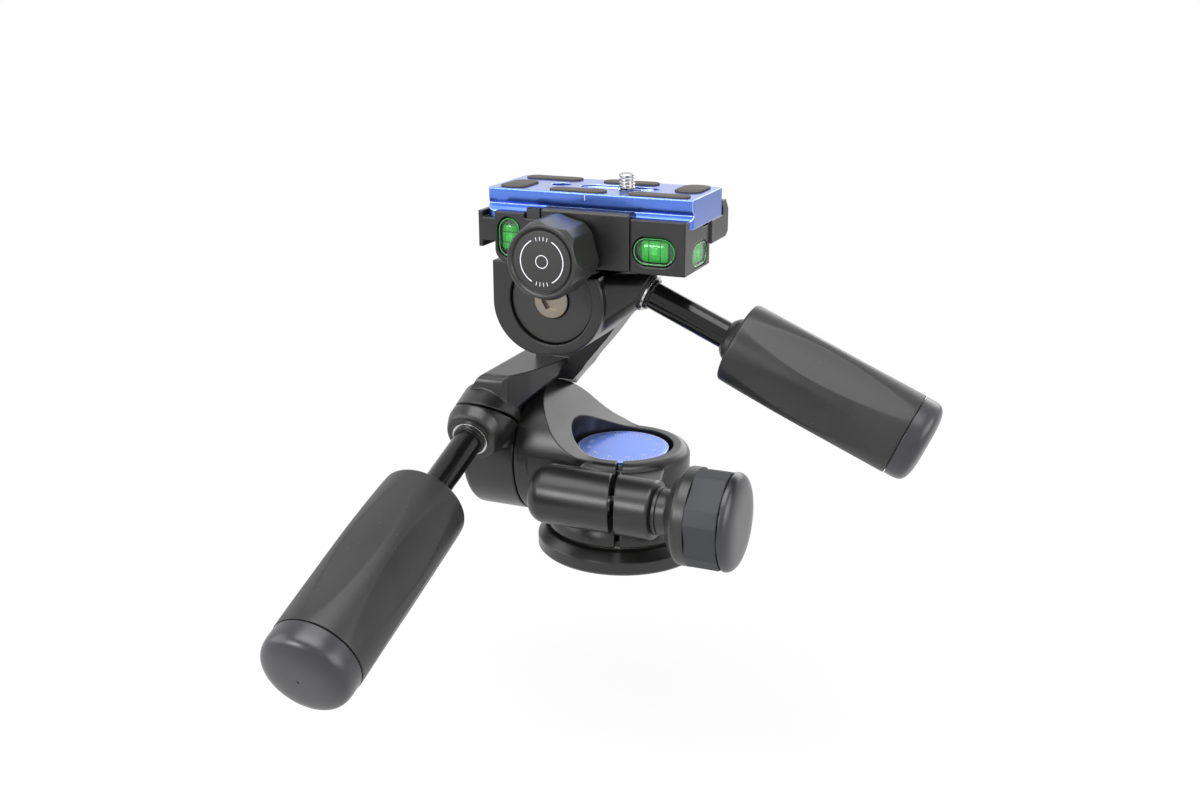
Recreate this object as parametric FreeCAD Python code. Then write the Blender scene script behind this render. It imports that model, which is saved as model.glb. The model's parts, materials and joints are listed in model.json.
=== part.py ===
import FreeCAD, Part
import math
import os

# Three way pan tilt head, millimetres, +Z up.
# Origin: pan axis at the underside of the foot. +X: tilt axis, toward the pan knob.
# The user stands on the -Y side, where the quick release knob and the tilt handle are.

V = FreeCAD.Vector
X, Y, Z = V(1, 0, 0), V(0, 1, 0), V(0, 0, 1)

# ---------------------------------------------------------------- clearances
RUN = 0.05            # radial clearance of a turning or sliding fit
SEAT = 0.05           # axial clearance between faces that move over each other
FIT = 0.03            # radial clearance of a located, fixed fit
AIR = 0.4             # least gap between a moving piece and its surroundings
SCREW_SINK = 0.2      # flat screw heads below their surface

# ---------------------------------------------------------------- pan base
FOOT_R = 35.5
FOOT_H = 9.4
FOOT_CHAMFER = 1.2
FOOT_RIM_H = 5.6                       # top of the upright rim
FOOT_SLOPE = 3.4                       # width of the sloping shoulder above the rim
FOOT_HOLE_R = 8.0
FOOT_RECESS_DEPTH = 4.0
SPINDLE_FLANGE_R = 22.0
SPINDLE_FLANGE_GAP = 0.2
SPINDLE_R = 13.5
SPINDLE_BORE_R = 7.2
SPINDLE_BORE_DEPTH = 17.0
THREAD_R = 4.7625     # 3/8 inch tripod thread
THREAD_LENGTH = 20.0
INSERT_GAP = 0.1
SPINDLE_SCREWS = 4
SPINDLE_SCREW_CIRCLE = 17.5
M3_R = 1.5
M3_HEAD_R = 2.9
M4_R = 2.0
M4_HEAD_R = 3.8
M6_R = 3.0
M8_R = 4.0
LOWER_WASHER = (23.0, 29.0, 0.7)       # inner radius, outer radius, thickness
THRUST_WASHER = (14.7, 18.6, 1.15)
RETAINER_R = 18.8
RETAINER_T = 2.05
RETAINER_SCREWS = 3
RETAINER_SCREW_CIRCLE = 9.5
DIAL_R = 19.3
DIAL_T = 1.7
DIAL_EDGE = 0.4

# ---------------------------------------------------------------- pan housing
HOUSING_RECESS_RISE = 28.15            # housing underside to the dial recess floor
HOUSING_RING_R = 28.0
HOUSING_COLLAR_R = 31.1
HOUSING_RECESS_R = 21.2
HOUSING_BORE_R = 14.5
HOUSING_LIP_RISE = 6.0                 # recess floor to the top of the ring
TILT_RISE = 29.35                      # housing underside to the tilt axis
FOOT_TO_FLANGE = 1.5                   # foot rim to the flange's outer face, along X
FLANGE_T = 6.0
SCOOP_CREST = 4.5                      # flange face to the scoop's upper edge, along X
SCOOP_FOOT_X = -14.5                   # where the scoop's slope meets the ring's top
SCOOP_R = 28.0
CLAMP_Y = -37.0
CLAMP_RISE = 22.5                      # housing underside to the clamp boss axis
CLAMP_BOSS_R = 11.8
CLAMP_BOSS_LEFT = -23.7
CLAMP_BOSS_RIGHT = 29.4
CLAMP_SLIT_X = 11.3
CLAMP_SLIT_TURN = 14.0                 # the slit runs toward the pan axis
CLAMP_SLIT_W = 2.4
CLAMP_NUT_R = 5.8
CLAMP_NUT_LENGTH = 18.0
CLAMP_HOLE_R = 3.4
PAN_KNOB_R = 19.6
PAN_KNOB_HUB_R = 9.0
PAN_KNOB_NECK = 8.1
PAN_KNOB_FLANGE_T = 8.3
PAN_KNOB_GRIP_L = 13.0
PAN_KNOB_CAP_L = 5.2
PAN_KNOB_SIDES = 14
PAN_KNOB_WASHER = (M6_R + RUN, 9.5, 1.6)

# ---------------------------------------------------------------- tilt stage
BARREL_R = 28.0
BARREL_L = 24.1
BARREL_GAP = 0.4
BARREL_EDGE = 3.0
TILT_AXLE_R = 13.0
END_DISC_R = 17.2
END_DISC_T = 2.0
END_DISC_POCKET = 2.5
ARM_RISE = 70.0                        # tilt axis to roll axis
ARM_REACH = 18.0                       # flange face to roll axis, along X
ARM_FRONT_Y = -32.7
ARM_TOP = 38.0                         # tilt axis to the block's flat top
ARM_SWEEP = 1.0                        # beside the flange the arm stays this far outside it
REAR_Y = 3.0
REAR_T = 15.0
REAR_DISC_R = 21.5
TILT_SLIT_ANGLE = 34.0
TILT_SLIT_W = 1.2
TILT_HANDLE_X = -11.0                  # from the flange face
TILT_HANDLE_Y = -43.4
TILT_HANDLE_RISE = 14.7
TILT_DROOP = 20.1
BOSS_MOUTH_R = 10.3
BOSS_ROOT_R = 13.0

# ---------------------------------------------------------------- roll stage
ROLL_BARREL_R = 22.0
ROLL_FRONT_Y = -29.0
ROLL_BACK_Y = 2.4
ROLL_BORE_R = 11.5
ROLL_AXLE_R = 10.0
ROLL_DISC_T = 3.5
ROLL_DISC_RECESS = 1.5
ROLL_SPIGOT_R = 8.0
ROLL_SPIGOT_L = 11.0
PAD_FRONT_Y = -20.0
PAD_LEFT = -24.6
HOUSING_CORNER_R = 20.5
PAD_RIGHT = 21.0
FRONT_TRUNCATION = 14.3
ROLL_SLIT_LOW = 10.3
ROLL_SLIT_HIGH = 12.0
ROLL_HANDLE_X = 34.8
ROLL_HANDLE_Y = -13.0
ROLL_HANDLE_RISE = 3.2
ROLL_DROOP = 23.7
NECK_MOUTH_R = 8.3

# ---------------------------------------------------------------- handles
# rod radius, rod in the open, grip radius where its tapers meet, grip length, cap length
TILT_HANDLE = (5.8, 40.6, 19.4, 80.0, 12.0)
ROLL_HANDLE = (5.5, 39.3, 18.1, 71.9, 9.4)
ROD_IN_GRIP = 24.0
STUD_L = 32.0
STUD_CLEAR_R = 3.5
MOUTH_WASHER = (M6_R + RUN, 7.5, 0.9)
GRIP_INNER = 0.89                      # inner end of the grip, share of its radius
GRIP_SEAM = 0.907                      # end at the cap, share of its radius
GRIP_CROWN_AT = 0.45                   # widest place, share of its length
GRIP_CROWN_R = 400.0
GRIP_FLUTES = 6
GRIP_FLUTE_R = 900.0
GRIP_FLUTE_DEPTH = 1.5
FERRULE_R = 9.2
FERRULE_L = 4.3

# ---------------------------------------------------------------- plate clamp
PLATFORM_RISE = 22.5                   # roll axis to the platform underside
PLATFORM_T = 9.0
PLATFORM_LEFT = -29.3
PLATFORM_RIGHT = 57.0
PLATFORM_FRONT = -31.0
PLATFORM_BACK = 15.0
CLAMP_FRONT = -33.0                    # front face of jaw and vial blocks
BLOCK_BOTTOM = 14.9
RIGHT_BLOCK = (34.7, 56.2)
RIGHT_BLOCK_BACK = -4.5
RIGHT_BLOCK_TOP = 35.1
LEFT_BLOCK = (-21.3, -8.8)
LEFT_BLOCK_BACK = -21.0
LEFT_BLOCK_TOP = 34.5
PLATE_L = 84.0
PLATE_LEFT = -27.0
PLATE_Y = -9.5
PLATE_T = 10.95
PLATE_FLANGE_HALF = 19.0
PLATE_TOP_HALF = 17.25
PLATE_GROOVE_HALF = 16.0
PLATE_FLANGE_T = 2.5
PLATE_GROOVE_RISE = 4.85
PLATE_SHOULDER_RISE = 6.95
PLATE_CORNER_R = 3.0
RAIL_GAP = 0.1                         # flange edge to the rail or the closed jaw
JAW = (-1.5, 34.2)
JAW_T = 4.4
JAW_TRAVEL = 3.0
JAW_TOP = 36.8
JAW_TAIL_L = 6.6
JAW_TAIL = (25.4, 29.5)
QR_SCREW_X = 8.5
QR_SCREW_RISE = 21.2
QR_KNOB_R = 15.0
QR_KNOB_L = 20.7
QR_KNOB_WASHER = (M6_R + RUN, 7.5, 1.7)
LUG = (2.0, 15.0)
LUG_Y = (-27.8, -20.3)
LUG_BOTTOM = 16.8
BUTTON = (-8.1, -2.6)
BUTTON_TRAVEL = 3.0
BUTTON_TOP = 36.5
BUTTON_BOTTOM = 28.5
BUTTON_WELL = 23.5
BUTTON_BLOCK_TOP = 32.5
PIN_X = -5.35
PIN_Y = -25.4
PIN_R = 1.1
PLATE_TRAVEL = 12.0
SCREW_X = 24.0                         # camera screw, from the roll axis
SCREW_R = 3.175                        # 1/4 inch camera thread
SCREW_NECK_R = 2.6                     # plain neck that holds the screw in its clip
SCREW_STAND = 5.9                      # thread standing above the plate
SCREW_TRAVEL = (14.0, 8.0)             # slide of the screw toward the plate's two ends
CLIP_L = 13.0
CLIP_HALF = 7.6
VIAL_T = 3.6
VIAL_SINK = 0.25
VIAL_WALL = 0.8
VIALS = {"front": ("Y", 17.4, 11.2, (43.95, 23.4)), "left": ("Y", 9.6, 16.0, (-15.4, 24.6)),
         "side": ("X", 17.4, 9.6, (-15.6, 20.4))}
GUIDE_PIN_R = 1.5
GUIDE_PIN_DEPTH = 9.0
SPRING_R = 1.9
SPRING_L = 7.5


# ---------------------------------------------------------------- derived places
HOUSING_Z = FOOT_H + LOWER_WASHER[2] + SEAT
RECESS_Z = HOUSING_Z + HOUSING_RECESS_RISE
THRUST_Z = RECESS_Z + SEAT
SPINDLE_TOP_Z = THRUST_Z + THRUST_WASHER[2] + SEAT
DIAL_Z = SPINDLE_TOP_Z + RETAINER_T
RING_TOP_Z = RECESS_Z + HOUSING_LIP_RISE
CLAMP_Z = HOUSING_Z + CLAMP_RISE
TILT_Z = HOUSING_Z + TILT_RISE
FLANGE_X = -(FOOT_R + FOOT_TO_FLANGE)
TILT_AT = V(FLANGE_X, 0, TILT_Z)
ROLL_AT = V(FLANGE_X + ARM_REACH, 0, TILT_Z + ARM_RISE)
PLATFORM_TOP = PLATFORM_RISE + PLATFORM_T
PLATE_Z = PLATFORM_TOP + SEAT
SLOT = (SCREW_X - SCREW_TRAVEL[0] - SCREW_R - AIR, SCREW_X + SCREW_TRAVEL[1] + SCREW_R + AIR)
RECESS_FLOOR_Z = FOOT_H - FOOT_RECESS_DEPTH


# ---------------------------------------------------------------- shape helpers
def placed(shape, origin, along, across):
    """Move a shape drawn about local Z so Z runs along one direction, X across another."""
    moved = shape.copy()
    moved.Placement = FreeCAD.Placement(origin, FreeCAD.Rotation(across, V(), along, "ZXY"))
    return moved


def outline(corners, lift):
    """Closed wire through the corners; a third value on a corner is its rounding radius."""
    count = len(corners)
    ends = []
    for i, corner in enumerate(corners):
        here = V(corner[0], corner[1], 0)
        if len(corner) == 2:
            ends.append((here, None, here))
            continue
        before, after = corners[i - 1], corners[(i + 1) % count]
        back = (V(before[0], before[1], 0) - here).normalize()
        ahead = (V(after[0], after[1], 0) - here).normalize()
        half = back.getAngle(ahead) / 2
        reach = corner[2] / math.tan(half)
        centre = here + (back + ahead).normalize() * (corner[2] / math.sin(half))
        middle = centre + (here - centre).normalize() * corner[2]
        ends.append((here + back * reach, middle, here + ahead * reach))
    edges = []
    for i, (first, middle, last) in enumerate(ends):
        if middle:
            edges.append(Part.Arc(lift(first), lift(middle), lift(last)).toShape())
        following = ends[(i + 1) % count][0]
        if last.distanceToPoint(following) > 1e-6:
            edges.append(Part.makeLine(lift(last), lift(following)))
    return Part.Wire(edges)


def turned(corners, origin=V(), along=Z, across=None):
    """Solid of revolution; corners are (distance along the axis, radius)."""
    face = Part.Face(outline(corners, lambda p: V(p.y, 0, p.x)))
    solid = face.revolve(V(), Z, 360)
    if across is None:
        across = Y if abs(along.dot(X)) > 0.9 else X
    return placed(solid, origin, along, across)


def ring(inner, outer, start, end, origin=V(), along=Z):
    """Plain washer or sleeve between two places on an axis."""
    return turned([(start, inner), (start, outer), (end, outer), (end, inner)], origin, along)


def rod(radius, start, end, origin=V(), along=Z):
    """Plain cylinder between two places on an axis."""
    base = origin + V(along) * start
    return Part.makeCylinder(radius, end - start, base, along)


def box(xs, ys, zs):
    """Box between pairs of limits."""
    size = (xs[1] - xs[0], ys[1] - ys[0], zs[1] - zs[0])
    return Part.makeBox(size[0], size[1], size[2], V(xs[0], ys[0], zs[0]))


def prism_x(corners, start, end):
    """Outline in Y and Z drawn out along X."""
    wire = outline(corners, lambda p: V(start, p.x, p.y))
    return Part.Face(wire).extrude(X * (end - start))


def prism_y(corners, start, end):
    """Outline in X and Z drawn out along Y."""
    wire = outline(corners, lambda p: V(p.x, start, p.y))
    return Part.Face(wire).extrude(Y * (end - start))


def prism_z(corners, start, end):
    """Outline in X and Y drawn out along Z."""
    wire = outline(corners, lambda p: V(p.x, p.y, start))
    return Part.Face(wire).extrude(Z * (end - start))


def rounded(width, height, radius, centre=(0, 0)):
    """Corners of a rounded rectangle about a centre."""
    cx, cy = centre
    w, h = width / 2, height / 2
    return [(cx - w, cy - h, radius), (cx + w, cy - h, radius),
            (cx + w, cy + h, radius), (cx - w, cy + h, radius)]


def joined(first, *others):
    """One clean solid from several."""
    return first.multiFuse(list(others)).removeSplitter()


def less(shape, *tools):
    """Shape with every tool cut away."""
    return shape.cut(Part.makeCompound(list(tools)) if len(tools) > 1 else tools[0])


def around(shape, count, radius, start=0.0):
    """Copies of a shape on a bolt circle about Z."""
    copies = []
    for i in range(count):
        angle = start + i * 360.0 / count
        copy = shape.copy()
        copy.rotate(V(), Z, angle)
        spot = math.radians(angle)
        copy.translate(V(radius * math.cos(spot), radius * math.sin(spot), 0))
        copies.append(copy)
    return copies


def moved(shape, by):
    """Copy of a shape shifted by a vector."""
    copy = shape.copy()
    copy.translate(by)
    return copy


def countersunk(shank_r, head_r, head_z, tip_z, up=1, seat=False):
    """Flat head screw along Z, or its seat; the head face is at head_z, the tip at tip_z."""
    flat = head_z - up * 0.3
    cone = flat - up * (head_r - shank_r)
    grow = FIT if seat else 0.0
    face = head_z + (up * 2.0 if seat else 0.0)
    return turned([(face, 0), (face, head_r + grow), (flat, head_r + grow),
                   (cone, shank_r + grow), (tip_z, shank_r + grow), (tip_z, 0)])


# ---------------------------------------------------------------- pan base
def base_foot():
    """Round foot: rim with a sloping shoulder, spindle recess, hole for the thread insert."""
    body = turned([(0, FOOT_HOLE_R), (0, FOOT_R - FOOT_CHAMFER), (FOOT_CHAMFER, FOOT_R),
                   (FOOT_RIM_H, FOOT_R, 0.8), (FOOT_H, FOOT_R - FOOT_SLOPE, 0.8),
                   (FOOT_H, SPINDLE_FLANGE_R + 0.3),
                   (RECESS_FLOOR_Z, SPINDLE_FLANGE_R + 0.3),
                   (RECESS_FLOOR_Z, FOOT_HOLE_R)])
    seat = countersunk(M3_R, M3_HEAD_R, SCREW_SINK, RECESS_FLOOR_Z + 1, up=-1, seat=True)
    return less(body, *around(seat, SPINDLE_SCREWS, SPINDLE_SCREW_CIRCLE, 45))


def spindle_top_screw():
    """One screw holding the retainer on the spindle."""
    return countersunk(M3_R, M3_HEAD_R, DIAL_Z - SCREW_SINK, SPINDLE_TOP_Z - 5.0)


def pan_spindle():
    """Flanged spindle the pan housing turns on."""
    flange_top = FOOT_H - SPINDLE_FLANGE_GAP
    bore_top = RECESS_FLOOR_Z + SPINDLE_BORE_DEPTH
    body = turned([(RECESS_FLOOR_Z, SPINDLE_BORE_R), (RECESS_FLOOR_Z, SPINDLE_FLANGE_R),
                   (flange_top, SPINDLE_FLANGE_R), (flange_top, SPINDLE_R),
                   (SPINDLE_TOP_Z, SPINDLE_R), (SPINDLE_TOP_Z, 0), (bore_top, 0),
                   (bore_top, SPINDLE_BORE_R)])
    foot_hole = rod(M3_R + FIT, RECESS_FLOOR_Z - 1, flange_top + 1)
    top_hole = rod(M3_R + FIT, SPINDLE_TOP_Z - 8.0, SPINDLE_TOP_Z + 1)
    holes = around(foot_hole, SPINDLE_SCREWS, SPINDLE_SCREW_CIRCLE, 45)
    holes += around(top_hole, RETAINER_SCREWS, RETAINER_SCREW_CIRCLE)
    return less(body, *holes)


def thread_insert():
    """Flanged insert with the tripod thread."""
    flange_top = RECESS_FLOOR_Z - INSERT_GAP
    return turned([(0, THREAD_R), (0, FOOT_HOLE_R - FIT), (flange_top, FOOT_HOLE_R - FIT),
                   (flange_top, SPINDLE_BORE_R - FIT), (THREAD_LENGTH, SPINDLE_BORE_R - FIT),
                   (THREAD_LENGTH, THREAD_R)])


def spindle_screws():
    """Screws from under the foot into the spindle flange."""
    one = countersunk(M3_R, M3_HEAD_R, SCREW_SINK, FOOT_H - 2 * SPINDLE_FLANGE_GAP, up=-1)
    return Part.makeCompound(around(one, SPINDLE_SCREWS, SPINDLE_SCREW_CIRCLE, 45))


def pan_lower_washer():
    """Low friction washer between foot and housing."""
    inner, outer, thick = LOWER_WASHER
    return ring(inner, outer, FOOT_H, FOOT_H + thick)


def pan_thrust_washer():
    """Upper washer between the housing's recess floor and the retainer."""
    inner, outer, thick = THRUST_WASHER
    return ring(inner, outer, THRUST_Z, THRUST_Z + thick)


def pan_retainer():
    """Disc on top of the spindle that keeps the housing down."""
    body = turned([(SPINDLE_TOP_Z, 0), (SPINDLE_TOP_Z, RETAINER_R),
                   (DIAL_Z, RETAINER_R, 0.4), (DIAL_Z, 0)])
    seat = countersunk(M3_R, M3_HEAD_R, DIAL_Z - SCREW_SINK, SPINDLE_TOP_Z - 1, seat=True)
    return less(body, *around(seat, RETAINER_SCREWS, RETAINER_SCREW_CIRCLE))


def retainer_screws():
    """Screws through the retainer into the spindle."""
    screws = around(spindle_top_screw(), RETAINER_SCREWS, RETAINER_SCREW_CIRCLE)
    return Part.makeCompound(screws)


def pan_dial():
    """Degree dial on the retainer."""
    top = DIAL_Z + DIAL_T
    return turned([(DIAL_Z, 0), (DIAL_Z, DIAL_R), (top - DIAL_EDGE, DIAL_R),
                   (top, DIAL_R - DIAL_EDGE), (top, 0)])


# ---------------------------------------------------------------- pan stage
def housing_ring():
    """Ring round the spindle, its top still closed where the dial recess is cut."""
    rim = HOUSING_RING_R
    return turned([(HOUSING_Z, HOUSING_BORE_R), (HOUSING_Z, HOUSING_COLLAR_R, 0.9),
                   (HOUSING_Z + 3.0, HOUSING_COLLAR_R), (HOUSING_Z + 9.0, rim + 0.6, 12.0),
                   (HOUSING_Z + 17.0, rim), (RING_TOP_Z, rim, 4.0),
                   (RING_TOP_Z, HOUSING_BORE_R)])


def housing_saddle():
    """Tilt flange and barrel, scooped out from the flange's rim down to the ring's top."""
    flange = turned([(0, 0), (0, BARREL_R, 0.8), (FLANGE_T, BARREL_R), (FLANGE_T, 0)],
                    TILT_AT, X)
    half, tip = min(BARREL_R, HOUSING_RING_R) - 0.3, HOUSING_RING_R - 4.5
    plan = prism_z([(FLANGE_X, -half), (-11.0, -half, 20.0), (1.0, -tip), (1.0, tip),
                    (-11.0, half, 20.0), (FLANGE_X, half)], TILT_Z - 10.0, TILT_Z + 100.0)
    barrel = rod(BARREL_R, FLANGE_T - 0.5, 1.0 - FLANGE_X, TILT_AT, X).common(plan)
    rise = TILT_Z + BARREL_R - RING_TOP_Z
    back = FLANGE_X + SCOOP_CREST - SCOOP_FOOT_X
    start = (SCOOP_FOOT_X + 1.3 * back, RING_TOP_Z + 1.3 * rise)
    end, top = HOUSING_RING_R + 10.0, RING_TOP_Z + 2.0 * rise
    scoop = prism_y([start, (SCOOP_FOOT_X, RING_TOP_Z, SCOOP_R), (end, RING_TOP_Z),
                     (end, top), (start[0], top)], -2 * BARREL_R, 2 * BARREL_R)
    return joined(flange, barrel).cut(scoop)


def clamp_slit(x, width):
    """Slit that lets the clamp squeeze the ring."""
    reach = -CLAMP_Y + CLAMP_BOSS_R + 2
    blade = box((x - width / 2, x + width / 2), (-reach, -5.0), (FOOT_H, RING_TOP_Z + 30))
    blade.rotate(V(x, CLAMP_Y, 0), Z, CLAMP_SLIT_TURN)
    return blade


def pan_housing():
    """Pan housing: ring, tilt flange, saddle and clamp boss in one casting."""
    clamp_at = V(0, CLAMP_Y, CLAMP_Z)
    boss = turned([(CLAMP_BOSS_LEFT, 0), (CLAMP_BOSS_LEFT, CLAMP_BOSS_R, 7.0),
                   (CLAMP_BOSS_RIGHT, CLAMP_BOSS_R, 1.5), (CLAMP_BOSS_RIGHT, 0)], clamp_at, X)
    web = prism_z([(CLAMP_BOSS_LEFT + 6, CLAMP_Y), (CLAMP_BOSS_RIGHT - 2, CLAMP_Y),
                   (CLAMP_BOSS_RIGHT - 2, CLAMP_Y + 8), (23.5, -13.0), (-23.5, -13.0)],
                  CLAMP_Z - 9.0, CLAMP_Z + 9.0)
    body = joined(housing_ring(), housing_saddle(), boss, web)
    nut_hole = rod(CLAMP_NUT_R + FIT, CLAMP_SLIT_X - CLAMP_SLIT_W - CLAMP_NUT_LENGTH,
                   CLAMP_SLIT_X, clamp_at, X)
    bolt_hole = rod(CLAMP_HOLE_R, CLAMP_SLIT_X, CLAMP_BOSS_RIGHT + 1, clamp_at, X)
    return less(body,
                box((-80, 0), (-80, 80), (-20, HOUSING_Z)),
                rod(HOUSING_BORE_R, HOUSING_Z - 1, RECESS_Z + 1),
                rod(HOUSING_RECESS_R, RECESS_Z, RING_TOP_Z + 40),
                rod(tilt_spigot_r() + FIT, -1, tilt_spigot_l() + 0.5, TILT_AT, X),
                clamp_slit(CLAMP_SLIT_X, CLAMP_SLIT_W), nut_hole, bolt_hole)


def pan_bush():
    """Split bush between spindle and housing."""
    low = HOUSING_Z + 0.3
    sleeve = ring(SPINDLE_R + RUN, HOUSING_BORE_R - FIT, low, RECESS_Z - 0.1)
    return less(sleeve, clamp_slit(CLAMP_SLIT_X, CLAMP_SLIT_W))


def tilt_spigot_r():
    """Radius of the axle's spigot in the flange."""
    return TILT_AXLE_R - 4.0


def tilt_spigot_l():
    """Length of that spigot: it ends short of the dial recess and the bore."""
    return -FLANGE_X - HOUSING_RECESS_R - 3.0


def tilt_axle():
    """Axle fixed in the flange that carries the tilt barrel."""
    free = -(BARREL_GAP + BARREL_L - END_DISC_POCKET + SEAT)
    body = turned([(free, 0), (free, TILT_AXLE_R), (0, TILT_AXLE_R), (0, tilt_spigot_r()),
                   (tilt_spigot_l(), tilt_spigot_r()), (tilt_spigot_l(), 0)], TILT_AT, X)
    return less(body, rod(M8_R + FIT, free - 1, free + 17.0, TILT_AT, X))


def axle_disc(outer_r, thick, screw_r, origin, along):
    """Disc on the free end of an axle; local Z points outward, away from the axle."""
    head_r = screw_r + 3.0
    return turned([(0, screw_r + FIT), (0, outer_r), (thick, outer_r, 0.5),
                   (thick, head_r + 0.3), (thick - 1.2, head_r + 0.3),
                   (thick - 1.2, screw_r + FIT)], origin, along)


def socket_screw(shank_r, head_l, shank_l, sink, origin, along):
    """Hex socket screw; the head seats a little below the disc's outer face."""
    head_r = shank_r + 3.0
    top = sink + head_l
    body = turned([(sink, 0), (sink, shank_r), (-shank_l, shank_r), (-shank_l, 0)])
    head = turned([(sink, 0), (sink, head_r), (top, head_r, 0.5), (top, 0)])
    whole = joined(body, head)
    hexagon = [(shank_r * math.cos(math.radians(60 * i)),
                shank_r * math.sin(math.radians(60 * i))) for i in range(6)]
    socket = prism_z(hexagon, top - head_l * 0.7, top + 1)
    across = Y if abs(along.dot(X)) > 0.9 else X
    return placed(less(whole, socket), origin, along, across)


def tilt_axle_end():
    """Centre of the tilt axle's free end."""
    return TILT_AT - X * (BARREL_GAP + BARREL_L - END_DISC_POCKET + SEAT)


def tilt_end_disc():
    """Cover disc on the tilt axle's free end."""
    return axle_disc(END_DISC_R, END_DISC_T, M8_R, tilt_axle_end(), -X)


def tilt_axle_screw():
    """Screw through that disc into the axle."""
    return socket_screw(M8_R, 1.2, 15.0, END_DISC_T - 1.2, tilt_axle_end(), -X)


def pan_clamp_nut():
    """Round nut the pan clamp bolt pulls on."""
    end = CLAMP_SLIT_X - CLAMP_SLIT_W
    return ring(M6_R + RUN, CLAMP_NUT_R, end - CLAMP_NUT_LENGTH, end, V(0, CLAMP_Y, CLAMP_Z), X)


# ---------------------------------------------------------------- pan knob
def knob_at():
    """Inner end of the pan knob's neck on the clamp axis."""
    return V(CLAMP_BOSS_RIGHT + PAN_KNOB_WASHER[2] + SEAT, CLAMP_Y, CLAMP_Z)


def pan_knob_washer():
    """Washer between the clamp boss and the knob's neck."""
    inner, outer, thick = PAN_KNOB_WASHER
    return ring(inner, outer, -thick, 0, knob_at(), X)


def pan_clamp_bolt():
    """Clamp bolt from the knob hub into the nut."""
    tip = CLAMP_SLIT_X - CLAMP_SLIT_W - CLAMP_NUT_LENGTH + 2.0 - knob_at().x
    return rod(M6_R, tip, PAN_KNOB_NECK + PAN_KNOB_FLANGE_T, knob_at(), X)


def pan_knob_hub():
    """Neck and rear flange of the pan knob."""
    step = PAN_KNOB_NECK - PAN_KNOB_WASHER[2]
    body = turned([(0, 0), (0, PAN_KNOB_HUB_R), (step - 2.0, PAN_KNOB_HUB_R, 2.0),
                   (step, PAN_KNOB_R - 4.5, 1.5), (step + 3.5, PAN_KNOB_R - 0.3, 3.0),
                   (step + PAN_KNOB_FLANGE_T, PAN_KNOB_R - 0.3),
                   (step + PAN_KNOB_FLANGE_T, PAN_KNOB_R - 5.0),
                   (step + PAN_KNOB_FLANGE_T + 9.0, PAN_KNOB_R - 5.0),
                   (step + PAN_KNOB_FLANGE_T + 9.0, 0)], knob_at(), X)
    end = PAN_KNOB_NECK + PAN_KNOB_FLANGE_T
    return less(body, rod(M6_R + FIT, -1, end, knob_at(), X))


def pan_knob_grip():
    """Faceted grip band of the pan knob."""
    start = PAN_KNOB_NECK - PAN_KNOB_WASHER[2] + PAN_KNOB_FLANGE_T
    facet_r = (PAN_KNOB_R + 0.3) / math.cos(math.pi / PAN_KNOB_SIDES)
    corners = []
    for i in range(PAN_KNOB_SIDES):
        angle = 2 * math.pi * i / PAN_KNOB_SIDES
        corners.append((facet_r * math.cos(angle), facet_r * math.sin(angle)))
    band = prism_z(corners, start, start + PAN_KNOB_GRIP_L)
    core = turned([(start, 0), (start, PAN_KNOB_R + 0.4, 0.8),
                   (start + PAN_KNOB_GRIP_L, PAN_KNOB_R + 0.4, 0.8), (start + PAN_KNOB_GRIP_L, 0)])
    core_hole = rod(PAN_KNOB_R - 5.0 + FIT, start - 1, start + 9.0)
    return placed(less(band.common(core), core_hole), knob_at(), X, Y)


def pan_knob_cap():
    """Domed cap on the pan knob's face."""
    start = PAN_KNOB_NECK - PAN_KNOB_WASHER[2] + PAN_KNOB_FLANGE_T + PAN_KNOB_GRIP_L
    end = start + PAN_KNOB_CAP_L
    return turned([(start, 0), (start, PAN_KNOB_R - 0.4), (start + 2.2, PAN_KNOB_R - 0.4, 1.0),
                   (end - 0.6, PAN_KNOB_R - 3.6, 3.4), (end, 9.0, 20.0), (end, 0)],
                  knob_at(), X)


# ---------------------------------------------------------------- tilt stage
def handle_frame(at, mouth, along, across):
    """Origin and directions of a handle's local frame."""
    return at + mouth, along, across


def tilt_handle_frame():
    """Mouth, outward direction and side direction of the tilt handle."""
    droop = math.radians(TILT_DROOP)
    mouth = V(TILT_HANDLE_X, TILT_HANDLE_Y, TILT_HANDLE_RISE)
    return handle_frame(TILT_AT, mouth, V(0, -math.cos(droop), -math.sin(droop)), X)


def roll_handle_frame():
    """Mouth, outward direction and side direction of the roll handle."""
    droop = math.radians(ROLL_DROOP)
    mouth = V(ROLL_HANDLE_X, ROLL_HANDLE_Y, ROLL_HANDLE_RISE)
    return handle_frame(ROLL_AT, mouth, V(math.cos(droop), 0, -math.sin(droop)), Y)


def arm_block():
    """Column of the tilt arm: three outlines crossed, in coordinates from the flange."""
    left = -(BARREL_GAP + BARREL_L)
    front, back = ARM_FRONT_Y, REAR_Y + REAR_T
    plan = prism_z([(left, front, 6.0), (-1.2, front, 5.0), (4.8, front + 11.7, 10.0),
                    (11.4, REAR_Y + 1.0, 4.0), (11.4, back), (left, back)],
                   2.0, ARM_TOP + 2)
    face = prism_y([(left, 8.0), (left + 1.0, 20.5, 6.0), (left + 12.5, ARM_TOP, 4.0),
                    (12.0, ARM_TOP), (8.5, 31.5, 6.0), (-BARREL_GAP, 21.5), (-BARREL_GAP, 8.0)],
                   front - 1, back + 1)
    side = prism_x([(front, 8.0), (front, ARM_TOP, 4.0), (back, ARM_TOP), (back, 20.0),
                    (10.0, 8.0)], left - 1, 14.0)
    return plan.common(face).common(side)


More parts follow.
